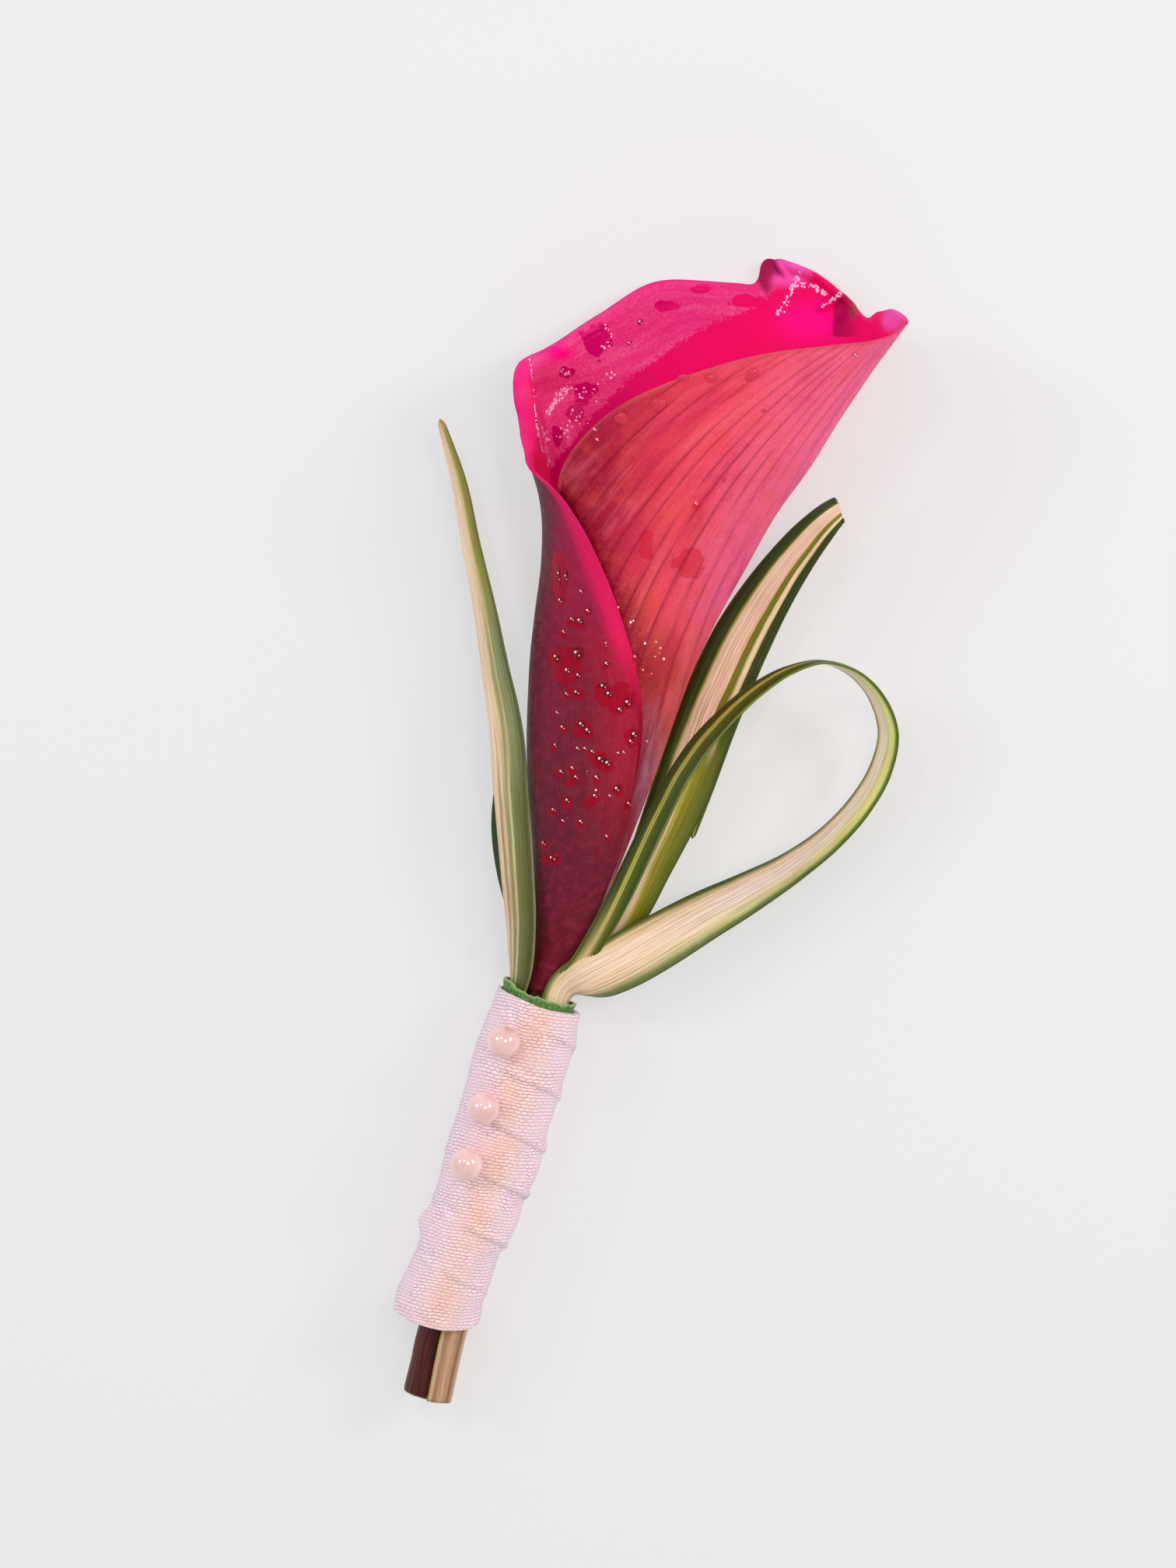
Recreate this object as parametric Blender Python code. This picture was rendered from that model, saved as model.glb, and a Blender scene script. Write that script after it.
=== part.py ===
"""Single-bloom calla corsage with striped grass blades, a ribbon-wrapped handle and pearl pins.

It lies on its back: Z is up, Y runs along the handle from the cut stems to the bloom, and the origin is
under the middle of its footprint. Lengths are in millimetres until MM turns them into metres.
"""

import math

import bmesh
import bpy
import numpy as np
from mathutils import Vector

MM = 0.001
SHARP_ANGLE = 40.0

# Handle: everything inside the wraps lies round an axis parallel to Y, at x = 0 and this height.
HANDLE_Z = 5.6
STEM_X = -0.3
STEM_RADIUS = 2.0
STEM_TOP = 6.0
STEM_SIDES = 24
CUT_END = -51.2
CUT_DRIFT = 0.6
INNER_LAYER = 2.6
OUTER_LAYER = 3.45
TAPE_BORE = 4.0
TAPE_WALL = 0.5
TAPE_TOP = 1.8
TAPE_END = -29.5
TAPE_FLARE = 0.45
RIBBON_BORE = 4.8
RIBBON_END_BORE = 4.1
RIBBON_TOP = 0.1
RIBBON_END = -42.0
WRAP_PITCH = 6.2
WRAP_STEP = 0.25
WRAP_SIDES = 32
RIBBON_WALL = 1.15
RIBBON_RINGS = 28

# Ribbon silhouette seen from above: distance along the handle, left edge, right edge.
RIBBON_EDGES = (
    (-42.0, -5.9, 4.7),
    (-39.2, -6.25, 4.6),
    (-36.0, -5.7, 4.6),
    (-32.8, -5.35, 4.6),
    (-29.8, -5.8, 5.4),
    (-28.0, -5.3, 5.5),
    (-25.0, -5.25, 5.65),
    (-20.0, -5.55, 6.15),
    (-14.0, -5.45, 5.95),
    (-8.0, -5.8, 6.1),
    (-5.0, -5.6, 6.0),
    (-2.0, -5.3, 5.75),
    (0.1, -5.25, 5.5),
)

# Bloom: a sheet rolled round a funnel. Each row: distance along, left, right, back and front of the funnel.
BLOOM_BASE = 6.3
SPATHE_THICKNESS = 0.6
LAYER_PITCH = 1.1
BACK_FLAT = 0.5
FUNNEL = (
    (6.3, -2.9, 3.3, 2.75, 8.7),
    (10.0, -4.0, 4.1, 2.0, 10.0),
    (17.0, -5.95, 4.75, 0.95, 11.6),
    (26.0, -9.4, 5.45, 0.1, 14.2),
    (32.0, -11.35, 5.85, -0.2, 15.6),
    (38.0, -12.75, 6.25, -0.3, 17.0),
    (46.0, -14.25, 6.75, -0.3, 18.8),
    (52.0, -15.45, 7.5, -0.3, 20.6),
    (59.0, -17.85, 9.1, -0.3, 23.4),
    (65.0, -21.75, 10.6, -0.3, 26.0),
    (72.0, -25.65, 12.8, -0.3, 28.6),
    (78.0, -26.6, 14.15, -0.1, 30.0),
    (84.0, -26.8, 16.0, 0.3, 30.8),
    (92.0, -26.2, 18.9, 1.0, 31.4),
    (98.0, -25.8, 20.5, 1.4, 31.6),
)
# Edges of the sheet, from its base to its tip: share of the way, x, distance along, and 1 in front or -1 behind.
OUTER_EDGE = (
    (0.0, 3.1, 6.3, 1),
    (0.06, 4.0, 11.0, 1),
    (0.16, 4.55, 19.5, 1),
    (0.27, 4.35, 28.9, 1),
    (0.37, 1.65, 38.7, 1),
    (0.46, -3.85, 47.4, 1),
    (0.515, -8.25, 52.6, 1),
    (0.555, -11.75, 56.3, 1),
    (0.59, -15.95, 59.5, 1),
    (0.615, -18.75, 61.5, 1),
    (0.65, -21.25, 63.8, 1),
    (0.69, -24.2, 67.8, 1),
    (0.72, -25.5, 72.4, -1),
    (0.745, -23.5, 76.6, -1),
    (0.78, -18.4, 82.8, -1),
    (0.82, -12.0, 89.9, -1),
    (0.845, -6.35, 92.0, -1),
    (0.866, -0.9, 93.9, -1),
    (0.876, 0.0, 96.3, -1),
    (0.895, 5.65, 97.3, -1),
    (0.92, 10.65, 95.9, -1),
    (0.94, 12.85, 93.7, -1),
    (0.955, 14.5, 92.6, -1),
    (0.964, 15.3, 93.5, -1),
    (0.974, 16.5, 94.2, -1),
    (0.985, 17.9, 93.6, -1),
    (1.0, 18.7, 92.1, -1),
)
INNER_EDGE = (
    (0.0, -2.1, 6.3, 1),
    (0.06, -3.0, 11.0, 1),
    (0.16, -5.6, 19.5, 1),
    (0.27, -9.0, 28.9, 1),
    (0.37, -11.2, 38.7, 1),
    (0.46, -12.8, 47.4, 1),
    (0.515, -14.1, 52.6, 1),
    (0.555, -15.2, 56.3, 1),
    (0.59, -16.2, 59.5, 1),
    (0.615, -16.5, 61.5, 1),
    (0.65, -15.9, 64.5, 1),
    (0.69, -13.65, 68.6, 1),
    (0.745, -9.05, 73.5, 1),
    (0.8, -3.35, 77.7, 1),
    (0.86, 4.25, 82.4, 1),
    (0.91, 11.05, 85.7, 1),
    (0.95, 15.45, 88.1, 1),
    (0.985, 18.1, 90.9, 1),
    (1.0, 18.7, 92.1, 1),
)
THROAT = 0.615
THROAT_Y = 61.5
TIP_Y = 92.1
TIP_SHARE = 0.988
SPATHE_COLUMNS = 30
LOWER_ROWS = 23
LOWER_SHARE = 0.835
TIP_ROWS = 15

# Spadix: distance along and radius.
SPADIX = (
    (6.3, 0.75),
    (9.0, 0.75),
    (12.5, 1.0),
    (15.0, 1.9),
    (19.0, 2.3),
    (30.0, 2.4),
    (38.0, 2.1),
    (42.5, 1.5),
    (44.6, 0.7),
)
SPADIX_SIDES = 14
SPADIX_RINGS = 27
FLORET_RELIEF = 0.14
FLORETS_FROM_RADIUS = 1.5

BLADE_THICKNESS = 0.6

# Pearl-headed pins: distance along the handle of each head, and how their short shanks enter it.
PEARL_Y = (-5.7, -14.2, -21.3)
PEARL_RADIUS = 2.0
PEARL_DISTANCE = 8.2
PEARL_ANGLE = 108.0
PIN_SLANT = 60.0
SHANK_RADIUS = 0.3
SHANK_START = 1.1
SHANK_LENGTH = 9.2
HOLE_RADIUS = 0.6
PEARL_SEGMENTS = 20
PEARL_RINGS = 12
SHANK_SIDES = 12


def smooth(at, knots, values):
    """Cubic curve through values at knots, read at each number in at."""
    at = np.asarray(at, float)
    knots = np.asarray(knots, float)
    values = np.asarray(values, float)
    slopes = np.gradient(values, knots, axis=0)
    i = np.clip(np.searchsorted(knots, at, side="right") - 1, 0, len(knots) - 2)
    step = knots[i + 1] - knots[i]
    u = (at - knots[i]) / step
    if values.ndim > 1:
        step = step[..., None]
        u = u[..., None]
    start = (1 + 2 * u) * (1 - u) ** 2 * values[i] + u * (1 - u) ** 2 * step * slopes[i]
    end = u**2 * (3 - 2 * u) * values[i + 1] + u**2 * (u - 1) * step * slopes[i + 1]
    return start + end


def unit(vectors):
    return vectors / np.linalg.norm(vectors, axis=-1, keepdims=True)


# Materials


def colour(red, green, blue):
    return tuple(((c / 255) ** 2.2) for c in (red, green, blue)) + (1.0,)


def material(name, base, roughness, metallic=0.0):
    made = bpy.data.materials.new(name)
    made.use_nodes = True
    shader = made.node_tree.nodes["Principled BSDF"]
    shader.inputs["Base Color"].default_value = base
    shader.inputs["Roughness"].default_value = roughness
    shader.inputs["Metallic"].default_value = metallic
    made.diffuse_color = base
    return made


# Mesh builders


def add_object(name, bm, look, parent, origin=(0.0, 0.0, 0.0)):
    """Turns a bmesh in millimetres into an object whose origin is at the given point."""
    bmesh.ops.triangulate(bm, faces=bm.faces[:])
    bmesh.ops.recalc_face_normals(bm, faces=bm.faces[:])
    bmesh.ops.translate(bm, verts=bm.verts[:], vec=-Vector(origin))
    bmesh.ops.scale(bm, verts=bm.verts[:], vec=(MM, MM, MM))
    mesh = bpy.data.meshes.new(name)
    bm.to_mesh(mesh)
    bm.free()
    mesh.shade_smooth()
    mesh.set_sharp_from_angle(angle=math.radians(SHARP_ANGLE))
    mesh.materials.append(look)
    made = bpy.data.objects.new(name, mesh)
    made.location = Vector(origin) * MM
    made.parent = parent
    bpy.context.scene.collection.objects.link(made)
    return made


def sheet(middle, thickness, floor=None):
    """Closed slab round a grid of points, split into triangles alike on both faces."""
    along = np.gradient(middle, axis=0)
    across = np.gradient(middle, axis=1)
    normal = unit(np.cross(across, along))
    upper = middle + normal * thickness / 2
    lower = middle - normal * thickness / 2
    if floor is not None:
        outside = np.where(normal[..., 2] < 0, upper[..., 2], lower[..., 2])
        lift = np.maximum(0.0, floor - outside)
        upper[..., 2] += lift
        lower[..., 2] += lift
    rows, columns = middle.shape[:2]
    bm = bmesh.new()
    top = [[bm.verts.new(p) for p in row] for row in upper]
    bottom = [[bm.verts.new(p) for p in row] for row in lower]
    for i in range(rows - 1):
        for j in range(columns - 1):
            down = np.linalg.norm(middle[i, j] - middle[i + 1, j + 1])
            up = np.linalg.norm(middle[i, j + 1] - middle[i + 1, j])
            for side in (top, bottom):
                a, b, c, d = side[i][j], side[i][j + 1], side[i + 1][j + 1], side[i + 1][j]
                if up < down:
                    a, b, c, d = b, c, d, a
                bm.faces.new((a, b, c))
                bm.faces.new((a, c, d))
    border = [(0, j) for j in range(columns - 1)]
    border += [(i, columns - 1) for i in range(rows - 1)]
    border += [(rows - 1, j) for j in range(columns - 1, 0, -1)]
    border += [(i, 0) for i in range(rows - 1, 0, -1)]
    for (i, j), (k, m) in zip(border, border[1:] + border[:1]):
        bm.faces.new((top[i][j], top[k][m], bottom[k][m], bottom[i][j]))
    return bm


def loft(rings, looped):
    """Skin through rings of equal size, closed into a tube wall or capped at both ends."""
    bm = bmesh.new()
    skins = [[bm.verts.new(p) for p in ring] for ring in rings]
    pairs = list(zip(skins, skins[1:]))
    if looped:
        pairs.append((skins[-1], skins[0]))
    for one, two in pairs:
        for j in range(len(one)):
            k = (j + 1) % len(one)
            bm.faces.new((one[j], one[k], two[k], two[j]))
    if not looped:
        bm.faces.new(skins[0])
        bm.faces.new(skins[-1])
    return bm


def ring(y, x, z, radius, count):
    angle = np.arange(count) * 2 * math.pi / count
    return np.stack((x + radius * np.cos(angle), np.full(count, y), z + radius * np.sin(angle)), axis=1)


# Bloom


def funnel(y):
    """Middle and radii of the funnel that the sheet's middle surface follows, where its offset is nil."""
    table = np.array(FUNNEL)
    left, right, back, front = np.moveaxis(smooth(y, table[:, 0], table[:, 1:]), -1, 0)
    middle_x = (left + right) / 2 + LAYER_PITCH / 4
    radius_x = (right - left) / 2 - SPATHE_THICKNESS / 2
    radius_z = (front - back - SPATHE_THICKNESS) / 2
    return middle_x, (back + front) / 2, radius_x, radius_z


def bloom_point(theta, y):
    """Point on the rolled sheet. Theta is in degrees from the right side, and each turn lies inside the last."""
    middle_x, middle_z, radius_x, radius_z = funnel(y)
    offset = -LAYER_PITCH * (theta + 90) / 360
    angle = np.radians(theta)
    x = middle_x + (radius_x + offset) * np.cos(angle)
    z = middle_z + (radius_z + offset) * np.sin(angle)
    z = np.maximum(z - BACK_FLAT, SPATHE_THICKNESS / 2)
    return np.stack((x, y, z), axis=-1)


def edge_angles(edge, turn):
    """Share of the way, distance along and theta of each row of an edge table."""
    share, x, y, side = np.array(edge).T
    middle_x, _, radius_x, _ = funnel(y)
    angle = np.degrees(np.arccos(np.clip((x - middle_x) / radius_x, -1, 1)))
    if turn:
        return share, y, np.where(side > 0, angle - 360, -angle)
    return share, y, angle


def bloom_grid(shares_across, shares_along):
    """Middle surface of the spathe, one row for each share of the way from base to tip."""
    outer_share, outer_y, outer_theta = edge_angles(OUTER_EDGE, turn=True)
    inner_share, inner_y, inner_theta = edge_angles(INNER_EDGE, turn=False)
    t = np.asarray(shares_along)[:, None]
    s = np.asarray(shares_across)[None, :]
    y_outer = smooth(t, outer_share, outer_y)
    y_inner = smooth(t, inner_share, inner_y)
    theta_outer = smooth(t, outer_share, outer_theta)
    theta_inner = smooth(t, inner_share, inner_theta)
    rise = THROAT_Y + (TIP_Y - THROAT_Y) * (t - THROAT) / (1 - THROAT)
    sag = np.where(t > THROAT, (y_outer + y_inner) / 2 - rise, 0.0)
    y = y_outer * (1 - s) + y_inner * s - 4 * s * (1 - s) * sag
    return bloom_point(theta_outer * (1 - s) + theta_inner * s, y)


def make_spathe(look, parent):
    lower_rows = np.linspace(0.0, LOWER_SHARE, LOWER_ROWS)
    tip_rows = np.linspace(LOWER_SHARE, TIP_SHARE, TIP_ROWS + 1)[1:]
    grid = bloom_grid(np.linspace(0.0, 1.0, SPATHE_COLUMNS), np.concatenate((lower_rows, tip_rows)))
    bm = sheet(grid, SPATHE_THICKNESS, floor=0.0)
    return add_object("calla_spathe", bm, look, parent, (0.0, BLOOM_BASE, HANDLE_Z))


def make_spadix(look, parent):
    table = np.array(SPADIX)
    rings = []
    for i, y in enumerate(np.linspace(table[0, 0], table[-1, 0], SPADIX_RINGS)):
        radius = float(smooth(y, table[:, 0], table[:, 1]))
        middle_x, middle_z, _, _ = funnel(np.array(y))
        points = ring(y, middle_x, middle_z, radius, SPADIX_SIDES)
        if radius > FLORETS_FROM_RADIUS:
            bump = np.where((np.arange(SPADIX_SIDES) + i) % 2 == 0, FLORET_RELIEF, -FLORET_RELIEF)
            centre = np.array((float(middle_x), y, float(middle_z)))
            points = centre + (points - centre) * (1 + bump[:, None] / radius)
        rings.append(points)
    return add_object("calla_spadix", loft(rings, looped=False), look, parent, (0.0, BLOOM_BASE, HANDLE_Z))


def make_stem(look, parent):
    top_x, top_z, _, _ = funnel(np.array(BLOOM_BASE))
    stations = (
        (CUT_END, STEM_RADIUS - 0.35, STEM_X + CUT_DRIFT, HANDLE_Z),
        (CUT_END + 0.3, STEM_RADIUS, STEM_X + CUT_DRIFT, HANDLE_Z),
        (CUT_END + 1.2, STEM_RADIUS + 0.1, STEM_X + 0.9 * CUT_DRIFT, HANDLE_Z),
        (CUT_END + 4.0, STEM_RADIUS, STEM_X + 0.5 * CUT_DRIFT, HANDLE_Z),
        (RIBBON_END - 1.0, STEM_RADIUS, STEM_X, HANDLE_Z),
        (-30.0, STEM_RADIUS, STEM_X, HANDLE_Z),
        (-15.0, STEM_RADIUS, STEM_X, HANDLE_Z),
        (0.0, STEM_RADIUS, STEM_X, HANDLE_Z),
        (2.5, STEM_RADIUS + 0.05, STEM_X + 0.15, HANDLE_Z),
        (STEM_TOP, STEM_RADIUS + 0.25, float(top_x), float(top_z)),
    )
    rings = [ring(y, x, z, radius, STEM_SIDES) for y, radius, x, z in stations]
    return add_object("calla_stem", loft(rings, looped=False), look, parent, (STEM_X, CUT_END, HANDLE_Z))


# Grass blades


def held(y, angle, radius, width, heading=1, middle_x=0.0):
    """Blade station inside the wraps, curved round the stem at an angle from the right side."""
    x = middle_x + radius * math.cos(math.radians(angle))
    z = HANDLE_Z + radius * math.sin(math.radians(angle))
    roll = angle - 90 if heading > 0 else 270 - angle
    return (x, y, z, width, roll, heading / radius)


def level_sides(tangent):
    """Sideways direction at each step of a path: level where the path isn't steep, and never jumping over."""
    sides = []
    for heading in tangent:
        level = np.cross(heading, (0.0, 0.0, 1.0))
        if sides and np.linalg.norm(level) < 0.5:
            level = sides[-1] - heading * np.dot(sides[-1], heading)
        if sides and np.dot(level, sides[-1]) < 0:
            level = -level
        sides.append(unit(level))
    return np.array(sides)


def blade_grid(stations, steps, columns):
    """Middle surface of a blade through stations of x, y, z, width, roll and curl."""
    table = np.array(stations, float)
    chords = np.linalg.norm(np.diff(table[:, :3], axis=0), axis=1)
    knots = np.concatenate(([0.0], np.cumsum(chords)))
    at = [knots[i] + chords[i] * k / steps for i in range(len(chords)) for k in range(steps)]
    at = np.array(at + [knots[-1]])
    rows = smooth(at, knots, table)
    path = rows[:, :3]
    width, roll, curl = rows[:, 3], np.radians(rows[:, 4]), rows[:, 5]
    tangent = unit(np.gradient(path, at, axis=0))
    side = level_sides(tangent)
    up = np.cross(side, tangent)
    across = np.cos(roll)[:, None] * side + np.sin(roll)[:, None] * up
    normal = np.cross(across, tangent)
    curl = np.where(np.abs(curl) < 1e-3, 1e-3, curl)[:, None]
    reach = np.linspace(-0.5, 0.5, columns)[None, :] * width[:, None]
    sideways = np.sin(curl * reach) / curl
    inward = (1 - np.cos(curl * reach)) / curl
    return path[:, None] + sideways[..., None] * across[:, None] - inward[..., None] * normal[:, None]


def make_blade(name, stations, look, parent, steps=2, columns=5):
    bm = sheet(blade_grid(stations, steps, columns), BLADE_THICKNESS)
    return add_object(name, bm, look, parent, stations[0][:3])


def left_blade():
    return (
        held(-3.0, 150, 3.3, 3.0),
        held(-0.5, 150, 3.3, 3.1),
        (-3.25, 2.2, 7.7, 3.5, 54, 0.22),
        (-4.75, 7.8, 9.0, 4.1, 40, 0.14),
        (-7.2, 14.6, 9.6, 4.3, 24, 0.1),
        (-10.7, 23.6, 10.0, 4.4, 14, 0.08),
        (-13.15, 29.8, 9.5, 4.5, 10, 0.08),
        (-14.75, 33.3, 8.9, 4.1, 10, 0.08),
        (-16.5, 36.6, 8.1, 3.6, 10, 0.08),
        (-20.35, 44.1, 6.7, 2.9, 10, 0.08),
        (-24.25, 51.1, 6.0, 2.4, 10, 0.08),
        (-28.45, 58.9, 5.8, 1.9, 8, 0.06),
        (-31.1, 62.9, 6.0, 1.3, 6, 0.0),
        (-32.6, 65.1, 6.1, 0.7, 5, 0.0),
    )


def left_rear_blade():
    return (
        held(-3.0, 205, 3.3, 2.3),
        held(-0.5, 205, 3.3, 2.4),
        (-3.6, 2.6, 4.2, 2.5, 98, 0.2),
        (-5.6, 7.8, 4.6, 2.8, 76, 0.12),
        (-8.5, 13.4, 4.8, 2.8, 50, 0.08),
        (-11.0, 19.0, 4.7, 2.2, 38, 0.05),
        (-12.9, 25.0, 4.5, 0.6, 30, 0.0),
    )


def folded_blade():
    inner = dict(angle=-35, radius=INNER_LAYER)
    return (
        held(-50.6, width=3.6, middle_x=STEM_X + CUT_DRIFT, **inner),
        held(-43.0, width=3.9, middle_x=STEM_X, **inner),
        held(-30.0, width=4.0, middle_x=STEM_X, **inner),
        held(-15.0, width=4.0, middle_x=STEM_X, **inner),
        held(-3.0, width=4.0, middle_x=STEM_X, **inner),
        held(-0.5, width=3.9, middle_x=STEM_X, **inner),
        (2.35, 2.2, 3.1, 3.5, -122, 0.27),
        (5.1, 6.4, 3.9, 4.2, -72, 0.12),
        (7.4, 12.8, 5.0, 4.9, -22, 0.04),
        (8.3, 19.9, 5.1, 5.8, -6, 0.03),
        (9.2, 28.5, 4.7, 7.1, 0, 0.04),
        (9.55, 35.0, 4.6, 7.4, 2, 0.05),
        (9.8, 40.0, 4.8, 7.4, 2, 0.05),
        (10.35, 45.0, 5.3, 7.6, 0, 0.05),
        (11.1, 50.0, 6.0, 7.4, -4, 0.05),
        (12.2, 55.0, 6.8, 6.7, -8, 0.05),
        (13.7, 60.0, 7.7, 5.8, -12, 0.04),
        (15.35, 64.3, 8.4, 4.9, -16, 0.02),
        (17.0, 67.5, 8.6, 3.9, -18, 0.0),
        (17.8, 68.6, 7.9, 3.4, -18, 0.0),
        (17.5, 68.0, 6.9, 3.1, -16, 0.0),
        (16.4, 65.4, 5.7, 3.1, -12, 0.0),
        (14.9, 60.8, 4.7, 3.4, -8, 0.0),
        (13.6, 54.4, 3.8, 3.6, -4, 0.0),
        (12.6, 46.2, 3.1, 3.6, 0, 0.0),
        (12.1, 38.0, 2.8, 3.2, 0, 0.0),
        (12.1, 31.0, 2.8, 2.4, 0, 0.0),
        (12.5, 24.6, 2.9, 0.6, 0, 0.0),
    )


def loop_blade():
    outer = dict(angle=35, radius=OUTER_LAYER)
    inner = dict(angle=55, radius=INNER_LAYER, middle_x=STEM_X, heading=-1)
    return (
        held(-50.9, width=5.2, middle_x=CUT_DRIFT, **outer),
        held(-43.0, width=5.5, **outer),
        held(-30.0, width=5.6, **outer),
        held(-15.0, width=5.6, **outer),
        held(-3.0, width=5.6, **outer),
        held(-0.8, width=5.6, **outer),
        (2.95, 2.0, 7.75, 5.4, -52, 0.28),
        (5.15, 4.2, 8.7, 6.7, -30, 0.16),
        (8.3, 7.3, 8.7, 7.1, -6, 0.08),
        (12.05, 11.2, 7.8, 7.0, 10, 0.05),
        (16.35, 15.8, 6.6, 6.7, 24, 0.04),
        (20.95, 20.4, 5.8, 6.4, 40, 0.04),
        (25.45, 25.3, 5.3, 6.0, 53, 0.04),
        (28.8, 30.0, 5.2, 5.7, 58, 0.04),
        (31.0, 34.7, 5.4, 5.5, 60, 0.04),
        (32.1, 39.4, 5.9, 5.3, 62, 0.04),
        (31.6, 44.2, 6.9, 5.1, 66, 0.04),
        (28.95, 47.8, 8.3, 4.9, 73, 0.03),
        (25.4, 49.8, 9.8, 4.8, 82, 0.02),
        (21.3, 50.0, 11.2, 4.6, 93, 0.0),
        (17.5, 47.8, 12.4, 4.5, 104, -0.02),
        (14.3, 44.3, 13.2, 4.4, 114, -0.03),
        (11.7, 40.1, 13.6, 4.3, 121, -0.04),
        (9.7, 35.8, 13.6, 4.2, 127, -0.04),
        (8.4, 31.7, 13.3, 4.0, 130, -0.05),
        (7.4, 26.4, 12.6, 3.8, 136, -0.06),
        (6.6, 20.9, 11.7, 3.4, 148, -0.07),
        (5.8, 15.4, 10.8, 3.0, 166, -0.1),
        (4.8, 10.2, 10.0, 2.7, 188, -0.14),
        (3.4, 5.4, 8.9, 2.6, 206, -0.2),
        (1.6, 1.6, 8.0, 2.5, 214, -0.3),
        held(-0.8, width=2.4, **inner),
        held(-3.0, width=2.3, **inner),
    )


# Wraps and pins


def make_tape(look, parent):
    stations = (
        (TAPE_TOP, TAPE_FLARE),
        (TAPE_TOP / 2, TAPE_FLARE / 2),
        (0.0, 0.0),
        (-7.0, 0.0),
        (-15.0, 0.0),
        (-22.0, 0.0),
        (TAPE_END, 0.0),
    )
    outer = [TAPE_BORE + TAPE_WALL + flare for _, flare in stations]
    bore = [TAPE_BORE + flare for _, flare in stations]
    rings = [ring(y, 0.0, HANDLE_Z, r, WRAP_SIDES) for (y, _), r in zip(stations, outer)]
    rings += [ring(y, 0.0, HANDLE_Z, r, WRAP_SIDES) for (y, _), r in reversed(list(zip(stations, bore)))]
    return add_object("floral_tape", loft(rings, looped=True), look, parent, (0.0, 0.0, HANDLE_Z))


def ribbon_ring(y):
    """Outer ring of the ribbon: each turn laps over the next, and the underside is flat."""
    table = np.array(RIBBON_EDGES)
    left, right = smooth(y, table[:, 0], table[:, 1:])
    angle = np.arange(WRAP_SIDES) * 2 * math.pi / WRAP_SIDES
    lap = (-y / WRAP_PITCH + angle / (2 * math.pi)) % 1.0
    step = WRAP_STEP * (lap - 0.5)
    radius = (right - left) / 2 + step
    upright = RIBBON_BORE + RIBBON_WALL + step
    x = (left + right) / 2 + radius * np.cos(angle)
    z = np.maximum(HANDLE_Z + upright * np.sin(angle), 0.0)
    return np.stack((x, np.full(WRAP_SIDES, y), z), axis=1)


def make_ribbon(look, parent):
    rings = [ribbon_ring(float(y)) for y in np.linspace(RIBBON_TOP, RIBBON_END, RIBBON_RINGS)]
    bore = (
        (RIBBON_END, RIBBON_END_BORE),
        (TAPE_END - 2.2, RIBBON_END_BORE),
        (TAPE_END - 0.5, RIBBON_BORE),
        (-14.0, RIBBON_BORE),
        (RIBBON_TOP, RIBBON_BORE),
    )
    rings += [ring(y, 0.0, HANDLE_Z, r, WRAP_SIDES) for y, r in bore]
    return add_object("satin_ribbon", loft(rings, looped=True), look, parent, (0.0, RIBBON_END, HANDLE_Z))


def pin_frame(y):
    """Head centre of a pin and the direction in which its shank runs into the handle."""
    angle = math.radians(PEARL_ANGLE)
    slant = math.radians(PIN_SLANT)
    outward = Vector((math.cos(angle), 0.0, math.sin(angle)))
    head = Vector((0.0, y, HANDLE_Z)) + PEARL_DISTANCE * outward
    inward = -math.sin(slant) * outward - math.cos(slant) * Vector((0.0, 1.0, 0.0))
    return head, inward


def rod(start, end, radius, tip=None):
    """Round bar between two points, in millimetres."""
    bm = bmesh.new()
    axis = end - start
    bmesh.ops.create_cone(
        bm,
        cap_ends=True,
        segments=SHANK_SIDES,
        radius1=radius,
        radius2=radius if tip is None else tip,
        depth=axis.length,
    )
    turn = Vector((0.0, 0.0, 1.0)).rotation_difference(axis).to_matrix()
    bmesh.ops.rotate(bm, verts=bm.verts[:], cent=(0.0, 0.0, 0.0), matrix=turn)
    bmesh.ops.translate(bm, verts=bm.verts[:], vec=(start + end) / 2)
    return bm


def hide_cutter(cutter):
    cutter.hide_render = True
    cutter.display_type = "WIRE"


def cut(target, cutter):
    modifier = target.modifiers.new(cutter.name, "BOOLEAN")
    modifier.operation = "DIFFERENCE"
    modifier.object = cutter


def make_pin(number, y, looks, parent, pierced):
    head_centre, inward = pin_frame(y)
    shank_from = head_centre + SHANK_START * inward
    shank_to = shank_from + SHANK_LENGTH * inward
    bm = bmesh.new()
    bmesh.ops.create_uvsphere(bm, u_segments=PEARL_SEGMENTS, v_segments=PEARL_RINGS, radius=PEARL_RADIUS)
    bmesh.ops.translate(bm, verts=bm.verts[:], vec=head_centre)
    pearl = add_object(f"pearl_head_{number}", bm, looks["pearl"], parent, head_centre)
    bm = rod(shank_from, shank_to, SHANK_RADIUS, tip=SHANK_RADIUS / 3)
    add_object(f"pin_shank_{number}", bm, looks["steel"], parent, head_centre)
    gap = HOLE_RADIUS - SHANK_RADIUS
    bm = rod(shank_from - gap * inward, shank_to + gap * inward, HOLE_RADIUS)
    hole = add_object(f"pin_hole_{number}", bm, looks["steel"], parent, head_centre)
    hide_cutter(hole)
    for target in pierced + [pearl]:
        cut(target, hole)


def clear_scene():
    for old in list(bpy.data.objects):
        bpy.data.objects.remove(old, do_unlink=True)


def footprint_centre(objects):
    corners = [made.location + v.co for made in objects for v in made.data.vertices]
    low = [min(c[i] for c in corners) for i in range(3)]
    high = [max(c[i] for c in corners) for i in range(3)]
    return Vector(((low[0] + high[0]) / 2, (low[1] + high[1]) / 2, low[2]))


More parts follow.
